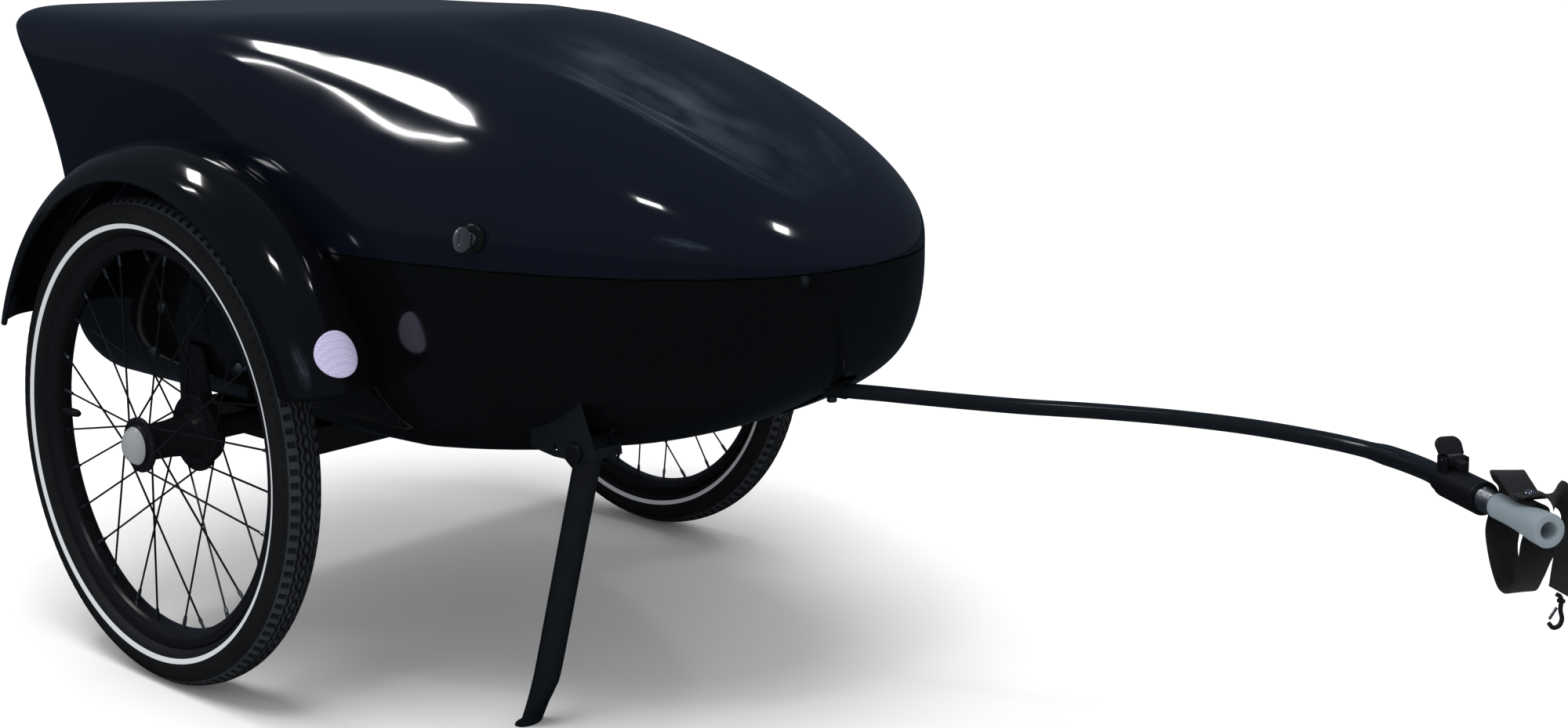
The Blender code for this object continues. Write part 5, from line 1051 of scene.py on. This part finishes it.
def spokeEnds():
    # Seven leading and seven trailing spokes on each flange
    pitch = 2 * math.pi / wheelValues["spokes"]
    reach = wheelValues["spokeReach"]
    for flange, height, radius, shift in wheelValues["flanges"]:
        for number in range(wheelValues["spokes"]):
            lead = 1 if number % 2 else -1
            atHub = (number + shift) * pitch
            atRim = atHub + lead * wheelValues["crosses"] * pitch
            start = Vector((radius * math.cos(atHub), radius * math.sin(atHub), height + lead * 0.0024))
            end = Vector((reach * math.cos(atRim), reach * math.sin(atRim), flange * 0.0015))
            yield start, end, lead


def makeSpokes(side, sign):
    placed = wheelFrame(sign)
    spokes, nipples = bmesh.new(), bmesh.new()
    for start, end, lead in spokeEnds():
        along = (end - start).normalized()
        bend = start + along * 0.0035
        elbow = [Vector((start.x, start.y, start.z - lead * 0.0042)), start - Vector((0, 0, lead * 0.0015)),
                 start + along * 0.0012, bend, start + along * 0.02, end - along * 0.004]
        points = [placed @ point for point in elbow[:1] + smoothPath(elbow[1:4], 3) + elbow[4:]]
        tubeShape(spokes, points, [wheelValues["spokeRadius"]] * len(points), 8)
        head = Vector((start.x, start.y, start.z - lead * 0.0048))
        rodShape(spokes, placed @ head, placed @ (head + Vector((0, 0, lead * 0.0012))), 0.0014, 12, 0.0020)
        radius, length = wheelValues["nippleRadius"], wheelValues["nippleLength"]
        rodShape(nipples, placed @ (end - along * length), placed @ (end - along * length * 0.55),
                 radius * 0.82, 12, radius)
        rodShape(nipples, placed @ (end - along * length * 0.55), placed @ end, radius, 4)
    newPiece("spokes" + side.capitalize(), spokes, "black_alloy", "wheel_" + side)
    newPiece("spokeNipples" + side.capitalize(), nipples, "zinc", "wheel_" + side)


def makeHub(side, sign):
    placed = wheelFrame(sign)
    bm = bmesh.new()
    spinShape(bm, rounded(spunLines["hub"], 0.0010), 72, placed)
    # Raised loops round the spoke holes of the larger flange
    for number in range(wheelValues["spokes"]):
        turn = 2 * math.pi * (number + 0.75) / wheelValues["spokes"]
        loop = [(0.0030 + 0.0008 * math.cos(a), 0.0008 * math.sin(a))
                for a in [2 * math.pi * i / 8 for i in range(8)]]
        stretch = Matrix.Diagonal((1.0, 1.6, 1.0, 1.0))
        around = Matrix.Rotation(turn, 4, "Z") @ Matrix.Translation((0.0345, 0, -0.0345)) @ stretch
        spinShape(bm, loop, 20, placed @ around)
    newPiece("hub" + side.capitalize(), bm, "black_alloy", "wheel_" + side, ("hub_" + side,))
    bm = bmesh.new()
    spinShape(bm, rounded(spunLines["cap"], 0.0010, False), 64, placed, False)
    newPiece("hubCap" + side.capitalize(), bm, "grey_plastic", "wheel_" + side, ("hub_cap_" + side,))


def makeValve(side, sign):
    # Knurled dust cap over the valve's end
    turn = math.radians(wheelValues["valveTurns"][side])
    along = Vector((math.cos(turn), math.sin(turn), 0))
    out = along.to_track_quat("Z", "Y").to_matrix().to_4x4()
    bm = bmesh.new()
    knurls, start, deep = [wheelValues[name] for name in ("knurls", "knurlFrom", "knurlDepth")]
    spinShape(bm, spunLines["valve"], knurls, out, False)
    for vert in bm.verts:
        local = out.inverted() @ vert.co
        if local.z > start and round(math.atan2(local.y, local.x) / (2 * math.pi) * knurls) % 2:
            vert.co = out @ Vector((local.x * deep, local.y * deep, local.z))
    bmesh.ops.transform(bm, matrix=wheelFrame(sign), verts=bm.verts)
    newPiece("valveCap" + side.capitalize(), bm, "black_plastic", "wheel_" + side)


for side, sign in sides.items():
    makeTyre(side, sign)
    makeRim(side, sign)
    makeSpokes(side, sign)
    makeHub(side, sign)
    makeValve(side, sign)
print("wheels made")


# Side bolts: domed heads on washers, with their nuts inside
boltValues = {"places": ((-0.090, 0.367), (-0.117, 0.3145), (0.044, 0.319)), "head": 0.0070, "height": 0.0045}


def makeSideBolts():
    for side, sign in sides.items():
        bm = bmesh.new()
        for x, z in boltValues["places"]:
            power = tubPower(x)
            drop = (shellValues["seam"] - shellValues["gap"] / 2 - z) / tubDepth(x)
            surface = planHalfWidth(x) * (1 - drop ** power) ** (1 / power)
            placed = Matrix.Translation((x, sign * surface, z)) @ alongY(sign)
            head, top = boltValues["head"], boltValues["height"]
            dome = [(0, top), (head * 0.4, top * 0.93), (head * 0.75, top * 0.68), (head * 0.95, top * 0.3),
                    (head, 0.0003), (0.003, 0.0003), (0.003, -0.0085), (0.0062, -0.0085),
                    (0.0062, -0.0135), (0, -0.0135)]
            spinShape(bm, rounded(dome, 0.0006, False), 32, placed, False)
        names = tuple(f"side_bolt_{side}_{number}" for number in (1, 2, 3))
        newPiece("sideBolts" + side.capitalize(), bm, "zinc", chassis, names)


makeSideBolts()

# Stand: a tube whose lower end is squeezed flat and drawn into a small toe
standValues = {"pivot": (0.461, -0.189, 0.288), "radius": 0.0127, "lean": 0.079, "footRise": 0.070,
               "grip": 0.0295, "around": 40, "cheek": 0.0025, "bracketBack": -0.062, "bracketFront": 0.024,
               "bracketShoulder": 0.006, "boltHalf": 0.0178,
               # Height, half length and shift of the toe's rings
               "toe": ((0.0030, 0.0075, -0.0030), (0.0012, 0.0100, -0.0055), (0.0, 0.0098, -0.0060)),
               "toeBack": 0.0075, "toeWidth": 1.18}


def makeStand():
    pivot = Vector(standValues["pivot"])
    length = math.hypot(standValues["lean"], pivot.z)
    lean = math.atan2(standValues["lean"], pivot.z)
    down = Vector((-math.sin(lean), 0, -math.cos(lean)))
    ahead = Vector((math.cos(lean), 0, -math.sin(lean)))
    squeeze = standValues["footRise"] / length
    stages = [(0.0, 1, 1, 0), (0.35, 1, 1, 0), (1 - squeeze, 1, 1, 0),
              (1 - squeeze * 0.62, 1.03, 0.84, 0.0020), (1 - squeeze * 0.30, 1.10, 0.52, 0.0058),
              (1 - squeeze * 0.10, 1.16, 0.34, 0.0082)]
    rings, around, radius = [], standValues["around"], standValues["radius"]
    turns = [2 * math.pi * i / around for i in range(around)]
    for stage in smoothPath([Vector((share, wide, thick, back)) for share, wide, thick, back in stages], 5):
        share, wide, thick, back = stage
        centre = pivot + down * (length * share) - ahead * back
        front, side = ahead * (radius * thick), Vector((0, radius * wide, 0))
        rings.append([centre + front * math.cos(a) + side * math.sin(a) for a in turns])
    wide = radius * standValues["toeWidth"]
    for height, half, shift in standValues["toe"]:
        centre = Vector((-standValues["lean"] - standValues["toeBack"] + shift, 0, height - pivot.z)) + pivot
        rings.append([centre + Vector((half * math.cos(a), wide * math.sin(a), 0)) for a in turns])
    bm = bmesh.new()
    gridShape(bm, len(rings), around + 1, lambda row, column: rings[row][column % around])
    bmesh.ops.remove_doubles(bm, verts=bm.verts, dist=0.000004)
    bmesh.ops.holes_fill(bm, edges=[edge for edge in bm.edges if edge.is_boundary], sides=around)
    half = standValues["grip"] / 2 - 0.0003
    eye = [(radius, -half), (radius, half), (0.0050, half), (0.0050, -half)]
    spinShape(bm, rounded(eye, 0.0008), 40, Matrix.Translation(pivot) @ alongY(-1))
    newPiece("standLeg", bm, "stand_paint", "stand", ("stand_leg",), 32)

    half = standValues["boltHalf"]
    bm = bmesh.new()
    head = [(0, half + 0.0052), (0.0070, half + 0.0051), (0.0088, half + 0.0044), (0.0095, half + 0.0030),
            (0.0095, half), (0.0040, half), (0.0040, -half - 0.0095), (0, -half - 0.0095)]
    spinShape(bm, rounded(head, 0.0005, False), 40, Matrix.Translation(pivot) @ alongY(-1), False)
    newPiece("standBolt", bm, "black_steel", chassis, ("stand_bolt",))


def hullUnder(x, y):
    power = tubPower(x)
    depth = tubDepth(x) * (1 - min(abs(y) / planHalfWidth(x), 1.0) ** power) ** (1 / power)
    return shellValues["seam"] - shellValues["gap"] / 2 - depth


def makeStandBracket():
    # Two cheeks and a front web, their upper edges let 2 mm into the hull's skin
    x, y, z = standValues["pivot"]
    boss, cheek, sink = standValues["radius"] + 0.0010, standValues["cheek"], 0.0020
    back, front = standValues["bracketBack"], standValues["bracketFront"]
    middle, shoulder = standValues["grip"] / 2 + 0.00025 + cheek / 2, standValues["bracketShoulder"]
    bm = bmesh.new()
    for across in (y - middle, y + middle):
        tops = [shoulder + (back - shoulder) * i / 16 for i in range(17)]
        outline = [(back, -0.0050), (-0.030, -0.0090), *arcLine(boss, 17, (0, 0), -140, -35),
                   (front, -0.0040), (front - 0.001, 0.006)]
        outline += [(reach, hullUnder(x + reach, across) - z + sink) for reach in tops]
        holes = [arcLine(0.0043, 24), arcLine(0.0030, 20, (-0.028, 0.0))]
        plateShape(bm, [outline, *holes], cheek, 0.0005, Matrix.Translation((x, across, z)) @ alongY(-1))
    reach = front - cheek / 2
    webTops = [middle - 2 * middle * i / 12 for i in range(13)]
    outline = [(-middle, -0.0040), (middle, -0.0040)]
    outline += [(side, min(hullUnder(x + reach, y + side) - z + sink, 0.006)) for side in webTops]
    upright = Matrix(((0, 0, 1, 0), (1, 0, 0, 0), (0, 1, 0, 0), (0, 0, 0, 1)))
    plateShape(bm, [outline], cheek, 0.0005, Matrix.Translation((x + reach, y, z)) @ upright)
    newPiece("standBracket", bm, "stand_paint", chassis, ("stand_bracket",), 32)
    print("stand made")


makeStand()
makeStandBracket()

# Tow bar: passes beside the bicycle's rear wheel, thicker where it enters the socket
barValues = {"radius": 0.00725, "endRadius": 0.00875, "thickFrom": 1.083, "thickOver": 0.020,
             "height": 0.331, "spineRadius": 0.0090,
             "plan": ((0.521, 0), (0.600, 0), (0.614, 0), (0.621, 0.0005), (0.645, 0.0090), (0.703, 0.027),
                      (0.774, 0.052), (0.839, 0.082), (0.906, 0.106), (0.976, 0.120), (1.049, 0.120),
                      (1.100, 0.109)),
             "intoSocket": (-0.008, 0.020, 0.038)}


def makeTowBar():
    route = [Vector((x, y, barValues["height"])) for x, y in barValues["plan"]]
    route += [hitch @ Vector((0, 0, s)) for s in barValues["intoSocket"]]
    points = smoothPath(route, 8)
    thin, thick = barValues["radius"], barValues["endRadius"]
    radii = [thin + (thick - thin) * step01((point.x - barValues["thickFrom"]) / barValues["thickOver"])
             for point in points]
    bm = bmesh.new()
    tubeShape(bm, points, radii, 32)
    newPiece("towBar", bm, "bar_paint", chassis, ("tow_bar",))

    xs = [-0.030, 0.290, *[0.300 + 0.230 * step / 24 for step in range(25)], 0.612]
    points = [Vector((x, 0, spineHeight(x))) for x in xs]
    bm = bmesh.new()
    tubeShape(bm, points, [barValues["spineRadius"]] * len(points), 32)
    newPiece("spineTube", bm, "frame_paint", chassis, ("spine_tube",))


makeTowBar()

# Coupling: socket, latch lever, ribbed ferrule and flexible sleeve
couplingValues = {"ferruleRibs": 9, "leverRibs": 6, "leverLean": -38.0, "latchHeight": 0.0185,
                  "latchAt": 0.036,
                  # Radius and place along the coupling of the points that are spun round it
                  "socketLine": ((0.0081, 0.0800), (0.0125, 0.0800), (0.0135, 0.0790), (0.0135, 0.0290),
                                 (0.0118, 0.0250), (0.0112, 0.0200), (0.0091, 0.0200), (0.0091, 0.0400),
                                 (0.0081, 0.0430)),
                  "sleeveMouth": ((0.0065, 0.1600), (0.0073, 0.1613), (0.0080, 0.1616), (0.0118, 0.1616),
                                  (0.0126, 0.1612), (0.0130, 0.1602)),
                  "sleeveLine": ((0.0129, 0.1590), (0.0126, 0.1490), (0.0114, 0.1370), (0.0104, 0.1250),
                                 (0.0100, 0.1130), (0.0100, 0.0980)),
                  "sleeveRoot": ((0.0097, 0.0976), (0.0065, 0.0976))}


def makeCoupling():
    bm = bmesh.new()
    spinShape(bm, rounded(couplingValues["socketLine"], 0.0008), 56, hitch)
    for sign in (-1, 1):
        low, high = sorted((sign * 0.0075, sign * 0.0105))
        boxShape(bm, (low, 0.006, 0.029), (high, 0.0221, 0.042), hitch, 0.0008)
    newPiece("hitchSocket", bm, "black_steel", chassis, ("hitch_socket",), 32)

    low, high = 0.0803, 0.0973
    pitch = (high - low) / couplingValues["ferruleRibs"]
    profile = [(0, high + 0.018), (0.0062, high + 0.017), (0.0062, high), (0.0092, high)]
    for number in range(couplingValues["ferruleRibs"]):
        top = high - number * pitch
        profile += [(0.0098, top - pitch * 0.2), (0.0098, top - pitch * 0.6), (0.0093, top - pitch * 0.8)]
    profile += [(0.0096, low), (0.0078, low), (0.0078, 0.0445), (0, 0.0445)]
    bm = bmesh.new()
    spinShape(bm, rounded(profile, 0.0002, False), 56, hitch, False)
    newPiece("couplingFerrule", bm, "bright_alloy", chassis, ("coupling_ferrule",), 32)

    outer = smoothPath([Vector((radius, 0, s)) for radius, s in couplingValues["sleeveLine"]], 6)
    sleeve = [*couplingValues["sleeveMouth"], *[(point.x, point.z) for point in outer],
              *couplingValues["sleeveRoot"]]
    bm = bmesh.new()
    spinShape(bm, sleeve, 64, hitch)
    newPiece("couplingSleeve", bm, "grey_rubber", chassis, ("coupling_sleeve",))


def makeLever():
    height, at = couplingValues["latchHeight"], couplingValues["latchAt"]
    pivot = hitch @ Matrix.Translation((0, height, at))
    bm = bmesh.new()
    boss = [(0.0025, -0.0070), (0.0058, -0.0070), (0.0058, 0.0070), (0.0025, 0.0070)]
    spinShape(bm, rounded(boss, 0.0006), 40, pivot @ Matrix.Rotation(math.pi / 2, 4, "Y"))
    boxShape(bm, (-0.0036, -0.0040, 0.0), (0.0036, 0.0025, 0.0165), pivot, 0.0007)
    boxShape(bm, (-0.0032, -0.0123, 0.0115), (0.0032, 0.0010, 0.0160), pivot, 0.0005)
    tab = pivot @ Matrix.Rotation(math.radians(couplingValues["leverLean"]), 4, "X")
    paddle = [(-0.0064, 0.0020), (0.0064, 0.0020), (0.0064, 0.0042), (0.0106, 0.0048),
              *arcLine(0.0072, 10, (0.0042, 0.0128), 0, 90), *arcLine(0.0072, 10, (-0.0042, 0.0128), 90, 180),
              (-0.0106, 0.0048), (-0.0064, 0.0042)]
    plateShape(bm, [paddle], 0.0042, 0.0014, tab)
    for number in range(couplingValues["leverRibs"]):
        y = 0.0072 + number * 0.0016
        rodShape(bm, tab @ Vector((-0.0095, y, 0.0020)), tab @ Vector((0.0095, y, 0.0020)), 0.0004, 8)
    newPiece("latchLever", bm, "black_plastic", "latch", ("latch_lever",), 32)
    print("coupling made")


makeCoupling()
makeLever()

# Lock, in a frame with X along the lid's side, Y up it and Z straight out of it
lockValues = {"x": 0.383, "z": 0.483, "keyHead": 0.0115, "keyReach": 0.022, "keyThick": 0.0034,
              "barrelLine": ((0.0078, 0.0052), (0.0095, 0.0050), (0.0112, 0.0044), (0.0128, 0.0038),
                             (0.0140, 0.0022), (0.0140, -0.0030), (0.0095, -0.0030), (0.0095, -0.0240),
                             (0.0068, -0.0240), (0.0068, 0.0044)),
              "plugLine": ((0, 0.0046), (0.0052, 0.0046), (0.0064, 0.0040), (0.0065, -0.0270),
                           (0.0034, -0.0270), (0.0034, -0.0320), (0, -0.0320))}


def lidSide(x, rise):
    width, height, power = planHalfWidth(x), lidHeight(x), lidPower(x)
    across = width * (1 - (rise / height) ** power) ** (1 / power)
    return Vector((x, -across, shellValues["seam"] + shellValues["gap"] / 2 + rise))


def lockFrame():
    x, rise = lockValues["x"], lockValues["z"] - shellValues["seam"]
    along = (lidSide(x + 0.004, rise) - lidSide(x - 0.004, rise)).normalized()
    up = (lidSide(x, rise + 0.004) - lidSide(x, rise - 0.004)).normalized()
    out = along.cross(up).normalized()
    matrix = Matrix((along, out.cross(along).normalized(), out)).transposed().to_4x4()
    matrix.translation = lidSide(x, rise)
    return matrix


def makeLock():
    placed = lockFrame()
    bm = bmesh.new()
    spinShape(bm, rounded(lockValues["barrelLine"], 0.0005), 64, placed)
    newPiece("lockBarrel", bm, "black_steel", "lid", ("lock_barrel",))
    bm = bmesh.new()
    spinShape(bm, rounded(lockValues["plugLine"], 0.0004, False), 48, placed, False)
    newPiece("lockPlug", bm, "chrome", "lock_core", ("lock_plug",))

    # Key: a round flat head with a slot through it, and its blade
    head, start, reach = lockValues["keyHead"], 0.0060, lockValues["keyReach"]
    middle = start + reach - head
    outline = [(start, -0.0050), *arcLine(head, 41, (middle, 0), -125, 125), (start, 0.0050)]
    eye = arcLine(0.0016, 11, (middle + 0.0055, 0.0035), 0, 180)
    eye += arcLine(0.0016, 11, (middle + 0.0055, -0.0035), 180, 359)
    bm = bmesh.new()
    plateShape(bm, [outline, eye], lockValues["keyThick"], 0.0007,
               placed @ Matrix.Rotation(math.radians(-90), 4, "Y"))
    boxShape(bm, (-0.0007, -0.0041, -0.0185), (0.0007, 0.0041, 0.0085), placed, 0.0002)
    newPiece("lockKey", bm, "key_plastic", "lock_core", ("key",), 32)
    print("lock made")


makeLock()


# Pale floor and soft studio light; gloss mirrors a dim room
studioValues = {
    "floor": "#f4f4f4", "floorInGloss": "#1d2228", "room": 0.72, "roomInGloss": 0.10,
    "sky": 1.5, "skySpread": 34.0, "skyTilt": (10.0, 8.0, 0.0), "floorHalf": 40.0,
    "softPanels": ("cloudPanel", "frontPanel"), "skylight": "#b4c6e0",
    # Place, target, size and power of each panel; their mirror images make the crisp highlights
    "panels": {
        "shoulderPanel": ((-1.44, -0.78, 3.12), (0.15, -0.24, 0.63), (0.66, 0.34), 15.0),
        "stripPanel": ((-1.41, -1.65, 2.73), (0.15, -0.24, 0.60), (0.09, 0.62), 3.4),
        "nosePanel": ((1.15, -1.05, 3.25), (0.53, -0.18, 0.52), (0.36, 0.22), 6.0),
        "bowPanel": ((1.45, 1.35, 2.75), (0.59, -0.10, 0.50), (0.30, 0.20), 4.5),
        "cloudPanel": ((-0.55, 2.05, 2.85), (0.45, -0.08, 0.60), (2.3, 1.5), 9.0),
        "frontPanel": ((2.6, -2.6, 1.9), (0.3, -0.1, 0.35), (1.6, 1.2), 12.0),
    },
}


def addLight(name, place, target, size, power):
    data = bpy.data.lights.new(name, "AREA")
    data.shape = "RECTANGLE"
    data.size, data.size_y = size
    data.energy = power
    light = addObject(name, data)
    light.location = toRow @ Vector(place)
    light.rotation_euler = (Vector(target) - Vector(place)).to_track_quat("-Z", "Y").to_euler()
    return data


def softenPanel(data):
    # Cloudy light that fades towards the panel's edges, as from a skylight, so its mirror image has no border
    data.use_nodes = True
    tree = data.node_tree
    surface = addNode(tree, "ShaderNodeNewGeometry")
    centred = addNode(tree, "ShaderNodeMapping", {"Vector": surface.outputs["Parametric"],
                                                  "Location": (-1, -1, 0), "Scale": (2, 2, 1)})
    fade = addNode(tree, "ShaderNodeTexGradient", {"Vector": centred.outputs["Vector"]},
                   gradient_type="SPHERICAL")
    clouds = addNode(tree, "ShaderNodeTexNoise", {"Vector": centred.outputs["Vector"], "Scale": 2.6,
                                                  "Detail": 3.0, "Roughness": 0.55})
    spread = addNode(tree, "ShaderNodeMapRange", {"Value": clouds.outputs["Fac"], "From Min": 0.38,
                                                  "From Max": 0.72})
    power = addNode(tree, "ShaderNodeMath", {0: fade.outputs["Fac"], 1: spread.outputs["Result"]},
                    operation="MULTIPLY")
    emission = tree.nodes["Emission"]
    emission.inputs["Color"].default_value = linear(studioValues["skylight"])
    tree.links.new(power.outputs["Value"], emission.inputs["Strength"])


def addSky():
    # Soft overhead light that draws the shadow and isn't mirrored
    data = bpy.data.lights.new("softSky", "SUN")
    data.energy = studioValues["sky"]
    data.angle = math.radians(studioValues["skySpread"])
    sky = addObject("softSky", data)
    sky.rotation_euler = [math.radians(tilt) for tilt in studioValues["skyTilt"]]
    sky.visible_glossy = False


def makeFloor():
    floorPaint, tree, shader = newMaterial("matteStudioFloor", studioValues["floor"], 0.9)
    shader.inputs["Specular IOR Level"].default_value = 0.0
    path = addNode(tree, "ShaderNodeLightPath")
    mirrored = addNode(tree, "ShaderNodeBsdfDiffuse", {"Color": linear(studioValues["floorInGloss"])})
    both = addNode(tree, "ShaderNodeMixShader", {0: path.outputs["Is Glossy Ray"], 1: shader.outputs[0],
                                                 2: mirrored.outputs[0]})
    tree.links.new(both.outputs[0], tree.nodes["Material Output"].inputs["Surface"])
    bm = bmesh.new()
    bmesh.ops.create_grid(bm, x_segments=1, y_segments=1, size=studioValues["floorHalf"])
    mesh = bpy.data.meshes.new("studioFloor")
    bm.to_mesh(mesh)
    bm.free()
    mesh.materials.append(floorPaint)
    floor = addObject("studioFloor", mesh)
    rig.stage(floor)


def setStudio():
    makeFloor()
    world = bpy.data.worlds.new("studioRoom")
    bpy.context.scene.world = world
    world.use_nodes = True
    tree = world.node_tree
    tree.nodes.clear()
    path = addNode(tree, "ShaderNodeLightPath")
    shades = {name: addNode(tree, "ShaderNodeBackground", {"Color": linear(colour), "Strength": strength})
              for name, colour, strength in (("room", "#ffffff", studioValues["room"]),
                                             ("gloss", studioValues["skylight"], studioValues["roomInGloss"]),
                                             ("camera", "#ffffff", 1.0))}
    inside = addNode(tree, "ShaderNodeMixShader", {0: path.outputs["Is Glossy Ray"],
                                                   1: shades["room"].outputs[0],
                                                   2: shades["gloss"].outputs[0]})
    both = addNode(tree, "ShaderNodeMixShader", {0: path.outputs["Is Camera Ray"], 1: inside.outputs[0],
                                                 2: shades["camera"].outputs[0]})
    addNode(tree, "ShaderNodeOutputWorld", {"Surface": both.outputs[0]})
    for name, (place, target, size, power) in studioValues["panels"].items():
        panel = addLight(name, place, target, size, power)
        if name in studioValues["softPanels"]:
            softenPanel(panel)
    addSky()
    bpy.context.scene.view_settings.view_transform = "Standard"


setStudio()

with open("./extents.json", "w") as sizeFile:
    json.dump({"cad": sizeAtLoad, "shown": [list(corner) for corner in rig.bounds()]}, sizeFile)
print("scene made")
